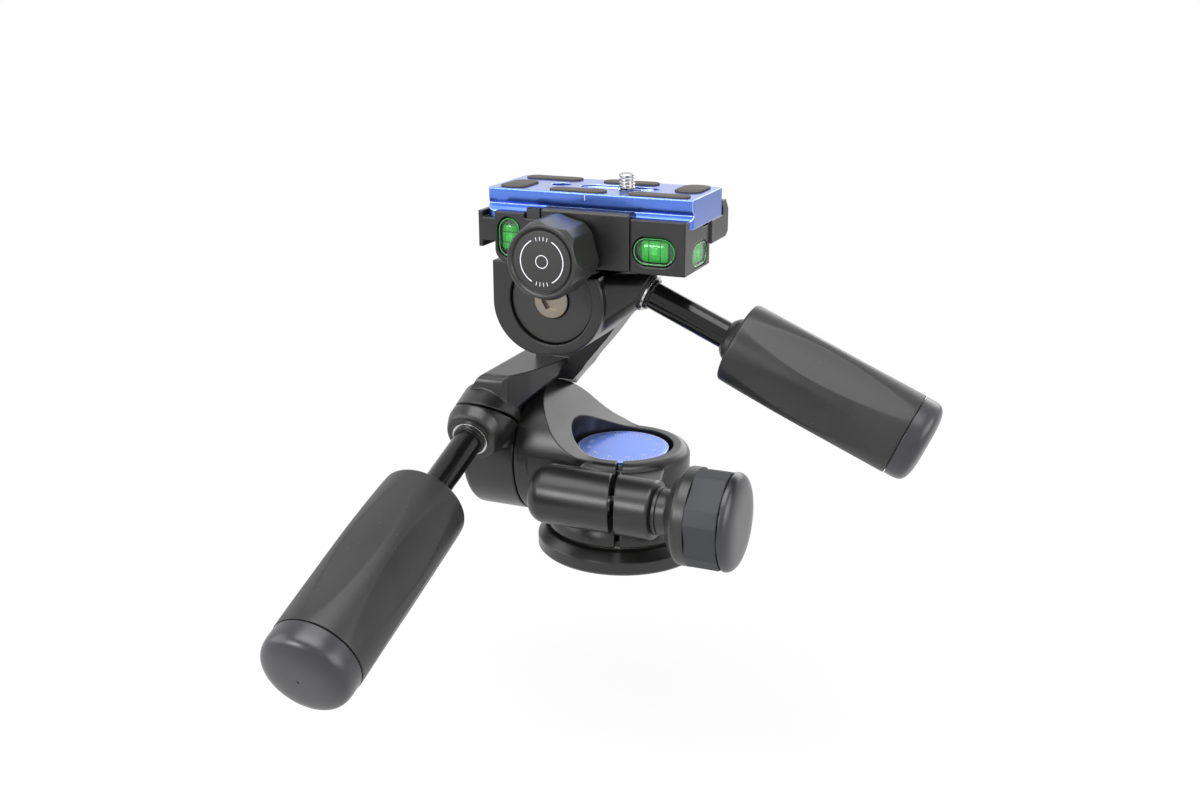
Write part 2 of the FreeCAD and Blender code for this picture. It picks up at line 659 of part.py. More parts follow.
def rear_plate():
    """Upright behind the roll housing that carries the roll axle."""
    disc = rod(REAR_DISC_R, REAR_Y, REAR_Y + REAR_T, V(ARM_REACH, 0, ARM_RISE), Y)
    left = ARM_REACH - REAR_DISC_R - 0.2
    upright = prism_y([(left, ARM_RISE), (left, ARM_TOP), (left - 4.0, ARM_TOP - 2.0),
                       (left - 4.0, 10.0), (14.4, 10.0), (14.4, 29.0, 5.0),
                       (19.0, 36.5, 20.0), (28.3, 47.9, 30.0), (34.6, 56.6), (ARM_REACH, ARM_RISE)],
                      REAR_Y, REAR_Y + REAR_T)
    return joined(disc, upright)


def tilt_slit():
    """Radial slit through the tilt barrel's front."""
    blade = box((-BARREL_L - 3, 16.0), (-70.0, -(TILT_AXLE_R + 0.5)),
                (-TILT_SLIT_W / 2, TILT_SLIT_W / 2))
    blade.rotate(V(), X, -TILT_SLIT_ANGLE)
    return blade


def stud_hole(clear_l, origin, along):
    """Clearance hole through the near ear, then the threaded hole."""
    clear = rod(STUD_CLEAR_R, -clear_l, 1.0, origin, along)
    thread = rod(M6_R + RUN, -(STUD_L + 0.5), -clear_l, origin, along)
    return joined(clear, thread)


def tilt_arm():
    """Tilt arm: barrel, clamp block with handle boss, rear upright."""
    mouth, along, across = tilt_handle_frame()
    left, right = -(BARREL_GAP + BARREL_L), -BARREL_GAP
    barrel = turned([(left, 0), (left, BARREL_R, BARREL_EDGE), (right, BARREL_R, 0.8),
                     (right, 0)], V(), X)
    boss = turned([(-20.0, 0), (-20.0, BOSS_ROOT_R), (-5.0, BOSS_ROOT_R - 0.6, 4.0),
                   (-1.0, BOSS_MOUTH_R + 0.6, 1.0), (0, BOSS_MOUTH_R - 0.2), (0, 0)],
                  mouth - TILT_AT, along, across)
    body = joined(barrel, arm_block(), rear_plate(), boss)
    body = less(body, rod(BARREL_R + ARM_SWEEP, right, 60.0, V(), X),
                rod(HOUSING_BORE_R, left - 1, right + 1, V(), X),
                rod(END_DISC_R + AIR, left - 1, left + END_DISC_POCKET, V(), X),
                tilt_slit(),
                stud_hole(15.0, mouth - TILT_AT, along),
                rod(ROLL_SPIGOT_R + FIT, REAR_Y - 1, REAR_Y + ROLL_SPIGOT_L + 0.3,
                    V(ARM_REACH, 0, ARM_RISE), Y))
    return moved(body, TILT_AT)


def tilt_bush():
    """Bush between the tilt axle and the barrel."""
    left = -(BARREL_GAP + BARREL_L) + END_DISC_POCKET
    sleeve = ring(TILT_AXLE_R + RUN, HOUSING_BORE_R - FIT, left + 0.1, -BARREL_GAP - 0.1, V(), X)
    return moved(less(sleeve, tilt_slit()), TILT_AT)


def tilt_thrust_washer():
    """Washer between barrel and flange."""
    return ring(TILT_AXLE_R + 1.8, TILT_AXLE_R + 8.0, -BARREL_GAP, -SEAT, TILT_AT, X)


def mouth_washer(frame):
    """Steel washer under a handle's shoulder."""
    inner, outer, thick = MOUTH_WASHER
    return ring(inner, outer, SEAT, SEAT + thick, frame[0], frame[1])


def roll_axle():
    """Axle fixed in the rear upright that carries the roll housing."""
    front = ROLL_FRONT_Y + ROLL_DISC_T + ROLL_DISC_RECESS
    spigot = REAR_Y + ROLL_SPIGOT_L
    body = turned([(front, 0), (front, ROLL_AXLE_R), (REAR_Y, ROLL_AXLE_R),
                   (REAR_Y, ROLL_SPIGOT_R), (spigot, ROLL_SPIGOT_R), (spigot, 0)], ROLL_AT, Y)
    return less(body, rod(M8_R + FIT, front - 1, front + 17.0, ROLL_AT, Y))


def roll_axle_end():
    """Centre of the roll axle's free end."""
    return ROLL_AT + Y * (ROLL_FRONT_Y + ROLL_DISC_T + ROLL_DISC_RECESS)


def roll_end_disc():
    """Cover disc on the roll axle's free end."""
    return axle_disc(END_DISC_R, ROLL_DISC_T, M8_R, roll_axle_end(), -Y)


def roll_axle_screw():
    """Screw through that disc into the axle."""
    return socket_screw(M8_R, 2.6, 15.0, ROLL_DISC_T - 1.2, roll_axle_end(), -Y)


# ---------------------------------------------------------------- handles
def handle_rod(frame, sizes):
    """Handle rod with its clamping stud and shoulder."""
    mouth, along, across = frame
    rod_r, shown = sizes[:2]
    shoulder = SEAT + MOUTH_WASHER[2]
    return turned([(-STUD_L, 0), (-STUD_L, M6_R, 0.5), (shoulder, M6_R),
                   (shoulder, rod_r + 0.9), (shoulder + 1.2, rod_r + 0.9, 0.4),
                   (shoulder + 1.4, rod_r), (shown + ROD_IN_GRIP, rod_r),
                   (shown + ROD_IN_GRIP, 0)], mouth, along, across)


def handle_ferrule(frame, sizes):
    """Collar at the inner end of the grip."""
    mouth, along, across = frame
    rod_r, shown = sizes[:2]
    start = shown - FERRULE_L
    return turned([(start, rod_r + FIT), (start, rod_r + 0.8, 0.3),
                   (start + 1.6, FERRULE_R - 1.2, 3.0), (shown - 0.6, FERRULE_R, 0.5),
                   (shown, FERRULE_R), (shown, rod_r + FIT)], mouth, along, across)


def handle_grip(frame, sizes):
    """Barrel shaped rubber grip with long lens shaped flutes."""
    mouth, along, across = frame
    rod_r, start, radius, length = sizes[:4]
    end, bore_end = start + length, start + ROD_IN_GRIP + 0.5
    body = turned([(start, rod_r + FIT), (start, radius * GRIP_INNER, 1.6),
                   (start + GRIP_CROWN_AT * length, radius, GRIP_CROWN_R),
                   (end, radius * GRIP_SEAM, 0.5), (end, 0),
                   (bore_end, 0), (bore_end, rod_r + FIT)])
    offset = radius - 0.5 - GRIP_FLUTE_DEPTH + GRIP_FLUTE_R
    for i in range(GRIP_FLUTES):
        cutter = Part.makeCylinder(GRIP_FLUTE_R, 20.0, V(offset, -10.0, (start + end) / 2), Y)
        cutter.rotate(V(), Z, 360.0 * i / GRIP_FLUTES)
        body = body.cut(cutter)
    return placed(body, mouth, along, across)


def handle_cap(frame, sizes):
    """Domed end cap of the grip."""
    mouth, along, across = frame
    start, outer = sizes[1] + sizes[3], sizes[2] * GRIP_SEAM - 0.3
    end = start + sizes[4]
    return turned([(start, 0), (start, outer), (end - 5.0, outer - 0.2, 6.0),
                   (end - 0.9, outer - 3.0, 3.5), (end, outer * 0.5, 24.0), (end, 0)],
                  mouth, along, across)


# ---------------------------------------------------------------- roll stage
def neck_section(width, height, radius, origin, along, across):
    """Rounded rectangle standing across a direction."""
    corners = rounded(width, height, radius)
    wire = outline(corners, lambda p: V(p.x, p.y, 0))
    return placed(wire, origin, along, across)


def roll_neck():
    """Clamp ear and neck from the roll barrel out to the handle's mouth."""
    mouth, along, across = roll_handle_frame()
    depth = ROLL_BACK_Y - ROLL_FRONT_Y
    low, high = -18.0, ROLL_SLIT_LOW
    middle = V(11.6, (ROLL_BACK_Y + ROLL_FRONT_Y) / 2, (low + high) / 2)
    root = neck_section(high - low, depth - 1.0, 7.0, middle, X, Z)
    lip = V(along.z, 0, -along.x)
    tip = neck_section(2 * NECK_MOUTH_R, 2 * NECK_MOUTH_R, NECK_MOUTH_R - 0.3,
                       mouth - ROLL_AT - along * 1.2, along, -lip)
    neck = Part.makeLoft([root, tip], True, True)
    collar = rod(NECK_MOUTH_R - 0.4, -6.0, 0.0, mouth - ROLL_AT, along)
    return neck, collar


def roll_housing():
    """Roll housing: barrel, pad under the platform, clamp neck."""
    mouth, along, across = roll_handle_frame()
    back = ROLL_BACK_Y
    barrel = turned([(ROLL_FRONT_Y, 0), (ROLL_FRONT_Y, ROLL_BARREL_R, 1.2),
                     (back, ROLL_BARREL_R, 0.8), (back, 0)], V(), Y)
    left_wall = prism_y([(0, PLATFORM_RISE), (PAD_LEFT, PLATFORM_RISE),
                         (PAD_LEFT, -ROLL_BARREL_R, HOUSING_CORNER_R), (0, -ROLL_BARREL_R)],
                        ROLL_FRONT_Y, back)
    pad = box((-1.0, PAD_RIGHT), (PAD_FRONT_Y, back), (0.0, PLATFORM_RISE))
    neck, collar = roll_neck()
    body = joined(barrel, left_wall, pad, neck).fuse(collar)
    front_cut = box((-40, 40), (ROLL_FRONT_Y - 5, PAD_FRONT_Y), (FRONT_TRUNCATION, 60))
    body = less(body, front_cut,
                rod(ROLL_BORE_R, ROLL_FRONT_Y - 1, back + 1, V(), Y),
                rod(END_DISC_R + AIR, ROLL_FRONT_Y - 1,
                    ROLL_FRONT_Y + ROLL_DISC_T + ROLL_DISC_RECESS + SEAT, V(), Y),
                box((0, PAD_RIGHT + 1), (ROLL_FRONT_Y - 1, back + 1),
                    (ROLL_SLIT_LOW, ROLL_SLIT_HIGH)),
                stud_hole(22.0, mouth - ROLL_AT, along),
                *[moved(rod(M4_R + FIT, 15.0, PLATFORM_TOP), spot) for spot in pad_screw_spots()])
    return moved(body, ROLL_AT)


def pad_screw_spots():
    """Places of the screws that hold the platform on the housing."""
    return [V(-17.0, -17.0, 0), V(-17.0, -1.8, 0), V(-2.0, -1.8, 0), V(15.0, -1.8, 0)]


def roll_bush():
    """Bush between the roll axle and the housing."""
    front = ROLL_FRONT_Y + ROLL_DISC_T + ROLL_DISC_RECESS + SEAT
    return ring(ROLL_AXLE_R + RUN, ROLL_BORE_R - FIT, front + 0.1, ROLL_BACK_Y - 0.1, ROLL_AT, Y)


def roll_thrust_washer():
    """Washer between the roll housing and the rear upright."""
    return ring(ROLL_AXLE_R + 2.0, ROLL_AXLE_R + 8.0, ROLL_BACK_Y, REAR_Y - SEAT, ROLL_AT, Y)


# ---------------------------------------------------------------- plate clamp
def rail_profile():
    """Fixed rear rail: undercut face toward the plate, sloped outer face."""
    edge = PLATE_Y + PLATE_FLANGE_HALF + RAIL_GAP
    groove = PLATE_GROOVE_HALF - PLATE_FLANGE_HALF
    top = PLATE_Z + PLATE_FLANGE_T
    nose = PLATE_Z + PLATE_GROOVE_RISE - 0.4
    return [(edge, PLATFORM_TOP - 2.0), (edge, top + 0.05), (edge + groove + 0.7, nose),
            (edge + groove + 1.8, nose + 1.3), (edge + 2.8, nose + 1.3, 0.8),
            (PLATFORM_BACK + 1.0, PLATFORM_TOP + 1.5, 2.0),
            (PLATFORM_BACK + 1.0, PLATFORM_RISE + 1.5, 1.0), (PLATFORM_BACK - 2, PLATFORM_RISE),
            (edge - 3, PLATFORM_RISE), (edge - 3, PLATFORM_TOP - 2.0)]


def clamp_blocks():
    """Vial blocks, button block, end wall and screw lug of the platform."""
    right_x = RIGHT_BLOCK
    right = joined(
        box(right_x, (CLAMP_FRONT, RIGHT_BLOCK_BACK), (BLOCK_BOTTOM, PLATFORM_TOP)),
        box(right_x, (CLAMP_FRONT, PLATE_Y - PLATE_FLANGE_HALF - RAIL_GAP),
            (PLATFORM_RISE, RIGHT_BLOCK_TOP)))
    left = joined(
        prism_y([(LEFT_BLOCK[0], BLOCK_BOTTOM, 5.0), (LEFT_BLOCK[1], BLOCK_BOTTOM),
                 (LEFT_BLOCK[1], PLATFORM_TOP), (LEFT_BLOCK[0], PLATFORM_TOP)],
                CLAMP_FRONT, LEFT_BLOCK_BACK),
        box(LEFT_BLOCK, (CLAMP_FRONT, PLATE_Y - PLATE_FLANGE_HALF - RAIL_GAP),
            (PLATFORM_RISE, LEFT_BLOCK_TOP)))
    button = box((LEFT_BLOCK[1] - 1, JAW[0] - 0.3),
                 (CLAMP_FRONT, PLATE_Y - PLATE_FLANGE_HALF - RAIL_GAP),
                 (BLOCK_BOTTOM, BUTTON_BLOCK_TOP))
    wall = joined(
        box((PLATFORM_LEFT, PLATE_LEFT - 0.6), (PLATFORM_FRONT, 0.0),
            (PLATFORM_RISE - 2.5, PLATFORM_TOP + 2.5)),
        box((PLATFORM_LEFT, PLATE_LEFT - 0.6), (-1.0, PLATFORM_BACK),
            (PLATFORM_RISE, PLATFORM_TOP + 2.5)))
    lug = box(LUG, LUG_Y, (LUG_BOTTOM, PLATFORM_RISE + 1))
    return right, left, button, wall, lug


def clamp_platform():
    """Platform that carries the plate: rail, vial blocks and the jaw's guide."""
    slab = prism_z([(PLATFORM_LEFT, PLATFORM_FRONT, 2.0), (PLATFORM_RIGHT, PLATFORM_FRONT),
                    (PLATFORM_RIGHT, PLATFORM_BACK, 2.0), (PLATFORM_LEFT, PLATFORM_BACK, 2.0)],
                   PLATFORM_RISE, PLATFORM_TOP)
    slab = less(slab, box((RIGHT_BLOCK[1], PLATFORM_RIGHT + 1),
                          (PLATFORM_FRONT - 1, RIGHT_BLOCK_BACK), (0, 60)))
    rail = prism_x(rail_profile(), PLATE_LEFT - 0.6, PLATFORM_RIGHT)
    body = joined(slab, rail, *clamp_blocks())
    jaw_gap = (JAW[0] - 0.3, RIGHT_BLOCK[0])
    jaw_back = CLAMP_FRONT + JAW_T + 0.2
    tail = (JAW[0] + 2.0 - AIR, JAW[1] - 2.0 + AIR)
    notch = box(jaw_gap, (CLAMP_FRONT - 5, jaw_back), (0, 60))
    tail_pocket = box(tail, (jaw_back - 1, jaw_back + JAW_TAIL_L + 0.1),
                      (JAW_TAIL[0] - 0.2, JAW_TAIL[1] + 0.2))
    sweep = rod(END_DISC_R + AIR, CLAMP_FRONT + JAW_T, PAD_FRONT_Y - 3.0, V(), Y)
    return moved(less(body, notch, tail_pocket, sweep, *platform_holes(), *vial_pockets(),
                      *button_well()), ROLL_AT)


def platform_holes():
    """Screw, guide pin and spring holes and the plate's stop groove."""
    seat = countersunk(M4_R, M4_HEAD_R, PLATFORM_TOP - SCREW_SINK, PLATFORM_RISE - 1, seat=True)
    holes = [moved(seat, spot) for spot in pad_screw_spots()]
    holes.append(rod(M6_R + RUN, LUG_Y[0] - 1, LUG_Y[1] + 1, qr_screw_at(), Y))
    for x in guide_pin_xs():
        at = V(x, 0, (JAW_TAIL[0] + JAW_TAIL[1]) / 2)
        holes.append(rod(GUIDE_PIN_R + FIT, tail_end() - 1, tail_end() + GUIDE_PIN_DEPTH, at, Y))
    holes.append(rod(SPRING_R + 0.3, tail_end() - 1, tail_end() + SPRING_L, spring_at(), Y))
    holes.append(box((PLATE_LEFT - 0.6, PLATFORM_RIGHT + 1), (PLATE_Y - 3.0, PLATE_Y + 3.0),
                     (PLATFORM_TOP - 1.2, PLATFORM_TOP + 1)))
    return holes


def tail_end():
    """Back face of the closed jaw's tail."""
    return CLAMP_FRONT + JAW_T + JAW_TAIL_L + 0.1


def guide_pin_xs():
    """The jaw runs on two pins near its ends."""
    return [JAW[0] + 5.0, JAW[1] - 5.0]


def spring_at():
    """Axis of the jaw's spring."""
    return V((JAW[0] + JAW[1]) / 2 + 4.0, 0, (JAW_TAIL[0] + JAW_TAIL[1]) / 2)


def qr_screw_at():
    """Axis of the quick release screw, in roll coordinates."""
    return V(QR_SCREW_X, 0, QR_SCREW_RISE)


def button_well():
    """Well for the safety button and the channel of its stop pin."""
    well = box((BUTTON[0] - 0.3, BUTTON[1] + 0.3), (CLAMP_FRONT + 0.5, CLAMP_FRONT + 3.9),
               (BUTTON_WELL, 60))
    channel = box((PIN_X - PIN_R - 0.6, PIN_X + PIN_R + 0.6), (CLAMP_FRONT + 3.0, PIN_Y + 1.6),
                  (BUTTON_BOTTOM - BUTTON_TRAVEL - 0.4, 60))
    return [well, channel]


def safety_button():
    """Sprung button with the pin that stops the plate."""
    body = box(BUTTON, (CLAMP_FRONT + 0.8, CLAMP_FRONT + 3.6), (BUTTON_BOTTOM, BUTTON_TOP))
    arm = box((PIN_X - PIN_R, PIN_X + PIN_R), (CLAMP_FRONT + 3.0, PIN_Y + PIN_R),
              (BUTTON_BOTTOM, BUTTON_BOTTOM + 1.8))
    pin = moved(rod(PIN_R, BUTTON_BOTTOM + 0.5, PLATE_Z + 1.4), V(PIN_X, PIN_Y, 0))
    grooves = []
    for i in range(3):
        x = BUTTON[0] + 1.4 + 1.35 * i
        grooves.append(box((x - 0.25, x + 0.25), (CLAMP_FRONT, CLAMP_FRONT + 5),
                           (BUTTON_TOP - 0.5, BUTTON_TOP + 1)))
    return moved(less(joined(body, arm, pin), *grooves), ROLL_AT)


def safety_spring():
    """Spring under the safety button."""
    at = V((BUTTON[0] + BUTTON[1]) / 2, CLAMP_FRONT + 2.2, 0)
    return moved(ring(0.7, 1.3, BUTTON_WELL, BUTTON_BOTTOM), at + ROLL_AT)


def platform_screws():
    """Screws from the platform into the housing's pad."""
    one = countersunk(M4_R, M4_HEAD_R, PLATFORM_TOP - SCREW_SINK, PLATFORM_RISE - 6.5)
    return Part.makeCompound([moved(one, spot + ROLL_AT) for spot in pad_screw_spots()])


def jaw_guide_pins():
    """Pins the jaw slides on."""
    pins = []
    for x in guide_pin_xs():
        at = V(x, 0, (JAW_TAIL[0] + JAW_TAIL[1]) / 2) + ROLL_AT
        pins.append(rod(GUIDE_PIN_R, CLAMP_FRONT + JAW_T - 1.0,
                        tail_end() + GUIDE_PIN_DEPTH - 0.3, at, Y))
    return Part.makeCompound(pins)


def jaw_spring():
    """Spring that pushes the jaw open."""
    return ring(SPRING_R - 0.6, SPRING_R, tail_end() - 0.1, tail_end() + SPRING_L,
                spring_at() + ROLL_AT, Y)


def clamp_jaw():
    """Sliding jaw: wall, lip over the plate's flange, tail under the platform."""
    inner = CLAMP_FRONT + JAW_T
    top = PLATE_Z + PLATE_FLANGE_T
    nose = PLATE_Z + PLATE_GROOVE_RISE - 0.4
    lip = PLATE_FLANGE_HALF - PLATE_GROOVE_HALF - 0.7
    wall = prism_x([(CLAMP_FRONT, BLOCK_BOTTOM, 1.0), (CLAMP_FRONT, JAW_TOP, 1.0),
                    (inner + lip - 1.2, JAW_TOP), (inner + lip, nose), (inner, top + 0.05),
                    (inner, BLOCK_BOTTOM)], JAW[0], JAW[1])
    tail = box((JAW[0] + 2.0, JAW[1] - 2.0), (inner - 1, inner + JAW_TAIL_L), JAW_TAIL)
    holes = [rod(M6_R + 0.3, CLAMP_FRONT - 1, inner + 1, qr_screw_at(), Y)]
    for x in guide_pin_xs():
        at = V(x, 0, (JAW_TAIL[0] + JAW_TAIL[1]) / 2)
        holes.append(rod(GUIDE_PIN_R + RUN, CLAMP_FRONT + 0.6, tail_end() + 1, at, Y))
    return moved(less(joined(wall, tail), *holes), ROLL_AT)


# ---------------------------------------------------------------- quick release knob
def qr_at():
    """Point on the screw axis at the jaw's front face."""
    return ROLL_AT + qr_screw_at() + Y * (CLAMP_FRONT - SEAT)


def clamp_knob_washer():
    """Washer between jaw and knob."""
    inner, outer, thick = QR_KNOB_WASHER
    return ring(inner, outer, 0, thick, qr_at(), -Y)


def clamp_screw():
    """Screw from the knob through the jaw into the lug."""
    front = CLAMP_FRONT - SEAT
    return rod(M6_R, front - (LUG_Y[1] - 0.3), QR_KNOB_WASHER[2] + 12.0, qr_at(), -Y)


def clamp_knob():
    """Faceted knob: six broad and six narrow flats between two rims."""
    start = QR_KNOB_WASHER[2]
    end = start + QR_KNOB_L
    core = turned([(start, M6_R + FIT), (start, QR_KNOB_R - 2.0, 0.6), (start + 2.0, QR_KNOB_R, 0.8),
                   (end - 3.4, QR_KNOB_R, 1.0), (end, QR_KNOB_R - 1.5, 1.2),
                   (end, QR_KNOB_R - 2.6, 0.4), (end - 1.1, QR_KNOB_R - 2.9),
                   (end - 1.1, 0), (start + 12.0, 0), (start + 12.0, M6_R + FIT)])
    for i in range(6):
        for turn, depth, width in ((0.0, 0.9, 9.0), (30.0, 0.55, 4.0)):
            flat = box((QR_KNOB_R - depth, QR_KNOB_R + 5), (-width, width),
                       (start + 2.6, end - 4.0))
            flat.rotate(V(), Z, 60.0 * i + turn)
            core = core.cut(flat)
    return placed(core, qr_at(), -Y, X)


def clamp_knob_disc():
    """Face disc of the quick release knob."""
    start = QR_KNOB_WASHER[2] + QR_KNOB_L - 1.1
    return turned([(start, 0), (start, QR_KNOB_R - 3.4), (start + 0.5, QR_KNOB_R - 3.4, 0.3),
                   (start + 0.5, 0)], qr_at(), -Y)


# ---------------------------------------------------------------- vials
def pill(width, height, start, end, centre, facing):
    """Flat pill standing on a face; facing picks the plane it lies in."""
    corners = rounded(width, height, min(width, height) / 2 - 0.01, centre)
    return prism_y(corners, start, end) if facing == "Y" else prism_x(corners, start, end)


def vial_span(name):
    """Where a vial's face and back lie along the way it faces."""
    if VIALS[name][0] == "Y":
        return CLAMP_FRONT + VIAL_SINK, CLAMP_FRONT + VIAL_SINK + VIAL_T
    return RIGHT_BLOCK[1] - VIAL_SINK - VIAL_T, RIGHT_BLOCK[1] - VIAL_SINK


def vial_pockets():
    """Pockets for the three vials."""
    pockets = []
    for name, (facing, width, height, centre) in VIALS.items():
        low, high = vial_span(name)
        open_low, open_high = (low - 2, high) if facing == "Y" else (low, high + 2)
        pockets.append(pill(width + 0.2, height + 0.2, open_low, open_high, centre, facing))
    return pockets


def vial_chamber(name, wall):
    """Fluid chamber inside a vial; a thicker wall gives the fluid itself."""
    facing, width, height, centre = VIALS[name]
    low, high = vial_span(name)
    return pill(width - 4 - 2 * wall, height - 4 - 2 * wall, low + wall, high - wall,
                centre, facing)


def vial(name):
    """Clear vial block with its fluid chamber."""
    facing, width, height, centre = VIALS[name]
    low, high = vial_span(name)
    body = pill(width, height, low, high, centre, facing)
    return moved(less(body, vial_chamber(name, VIAL_WALL)), ROLL_AT)


def vial_fluids():
    """Fluid in the three vials."""
    return Part.makeCompound([moved(vial_chamber(name, VIAL_WALL + RUN), ROLL_AT)
                              for name in VIALS])


# ---------------------------------------------------------------- camera plate
def plate_blank():
    """Grooved bar with rounded corners."""
    side = [(-PLATE_FLANGE_HALF, 0), (-PLATE_FLANGE_HALF, PLATE_FLANGE_T),
            (-PLATE_GROOVE_HALF, PLATE_GROOVE_RISE, 0.3),
            (-PLATE_TOP_HALF, PLATE_SHOULDER_RISE), (-PLATE_TOP_HALF, PLATE_T, 0.5)]
    profile = side + [tuple([-c[0]] + list(c[1:])) for c in reversed(side)]
    bar = prism_x([(PLATE_Y + c[0], PLATE_Z + c[1]) + tuple(c[2:]) for c in profile],
                  PLATE_LEFT, PLATE_LEFT + PLATE_L)
    plan = prism_z(rounded(PLATE_L, 2 * PLATE_FLANGE_HALF, PLATE_CORNER_R,
                           (PLATE_LEFT + PLATE_L / 2, PLATE_Y)), PLATE_Z - 1, PLATE_Z + PLATE_T + 1)
    return bar.common(plan)


def slot_shape(ends, half, low, high):
    """Round ended slot along X on the plate's middle line."""
    length = ends[1] - ends[0]
    return prism_z(rounded(length, 2 * half, half - 0.01, ((ends[0] + ends[1]) / 2, PLATE_Y)),
                   low, high)


def qr_plate():
    """Camera plate: dovetail grooves, screw slot, clip pocket, stop pin slot."""
    top = PLATE_Z + PLATE_T
    slot = slot_shape(SLOT, SCREW_R + 0.35, PLATE_Z - 1, top + 1)
    left = SCREW_X - SCREW_TRAVEL[0] - CLIP_L / 2 - AIR
    right = SCREW_X + SCREW_TRAVEL[1] + CLIP_L / 2 + AIR
    clip = prism_z(rounded(right - left, 2 * (CLIP_HALF + AIR), 2.0, ((left + right) / 2, PLATE_Y)),
                   PLATE_Z - 1, clip_roof())
    step = slot_shape((SLOT[0] - 1.6, SLOT[1] + 1.6), SCREW_R + 1.9, top - 1.0, top + 1)
    spot = V(-3.5, PLATE_Y, 0)
    hole = [moved(rod(2.0, PLATE_Z - 1, top + 1), spot), moved(rod(4.0, top - 2.2, top + 1), spot)]
    pin_run = (PIN_X - PLATE_TRAVEL - PIN_R - 0.3, PIN_X + PIN_R + 0.3)
    stop = box(pin_run, (PIN_Y - PIN_R - 0.3, PIN_Y + PIN_R + 0.3), (PLATE_Z - 1, PLATE_Z + 1.9))
    screws = [moved(rod(M3_R + FIT, PLATE_Z - 1, PLATE_Z + 5.0), s) for s in stop_screw_spots()]
    return moved(less(plate_blank(), slot, clip, step, stop, *hole, *screws), ROLL_AT)


def clip_roof():
    """Roof of the pocket the clip slides under."""
    return PLATE_Z + PLATE_T - 4.6


def stop_screw_spots():
    """Stop screws near the plate's two ends."""
    return [V(PLATE_LEFT + 6.0, PLATE_Y, 0), V(PLATE_LEFT + PLATE_L - 6.0, PLATE_Y, 0)]


def plate_stop_screws():
    """Screws whose heads run in the platform's groove."""
    one = turned([(PLATE_Z - 0.9, 0), (PLATE_Z - 0.9, M3_HEAD_R - 0.4), (PLATE_Z, M3_HEAD_R - 0.4),
                  (PLATE_Z, M3_R), (PLATE_Z + 4.8, M3_R), (PLATE_Z + 4.8, 0)])
    return Part.makeCompound([moved(one, spot + ROLL_AT) for spot in stop_screw_spots()])


def pad_outlines():
    """Rubber pads: two rows of long ones and one across each end."""
    y = PLATE_Y
    return [(-18.5, y - 6.5, 11.0, 19.0), (48.5, y + 6.5, 11.0, 19.0),
            (9.0, y - 12.6, 23.0, 7.6), (42.0, y - 12.6, 24.0, 7.6),
            (-12.0, y + 12.6, 24.0, 7.6), (21.0, y + 12.6, 23.0, 7.6)]


def plate_pads():
    """Raised rubber pads on the plate."""
    low = PLATE_Z + PLATE_T
    pads = []
    for cx, cy, length, width in pad_outlines():
        pads.append(moved(prism_z(rounded(length, width, 2.4, (cx, cy)), low, low + 0.6), ROLL_AT))
    return Part.makeCompound(pads)


def screw_clip():
    """Clip that keeps the camera screw in the slot."""
    high = clip_roof() - SEAT
    body = prism_z(rounded(CLIP_L, 2 * CLIP_HALF, 2.0, (SCREW_X, PLATE_Y)), high - 1.2, high)
    return moved(less(body, moved(rod(SCREW_NECK_R + RUN, high - 3, high + 1),
                                  V(SCREW_X, PLATE_Y, 0))), ROLL_AT)


def camera_screw():
    """Camera screw with a slotted head, a neck in the plate and the thread above it."""
    head_top = clip_roof() - SEAT - 1.2 - SEAT
    head_low = head_top - 3.0
    top = PLATE_Z + PLATE_T
    tip = top + SCREW_STAND
    body = turned([(head_low, 0), (head_low, 6.4, 0.4), (head_top, 6.4), (head_top, SCREW_NECK_R),
                   (top + 0.1, SCREW_NECK_R), (top + 0.1, SCREW_R),
                   (tip - 0.6, SCREW_R), (tip, SCREW_R - 0.6), (tip, 0)])
    slot = box((-7.0, 7.0), (-0.8, 0.8), (head_low - 1, head_low + 1.4))
    return moved(less(body, slot), V(SCREW_X, PLATE_Y, 0) + ROLL_AT)


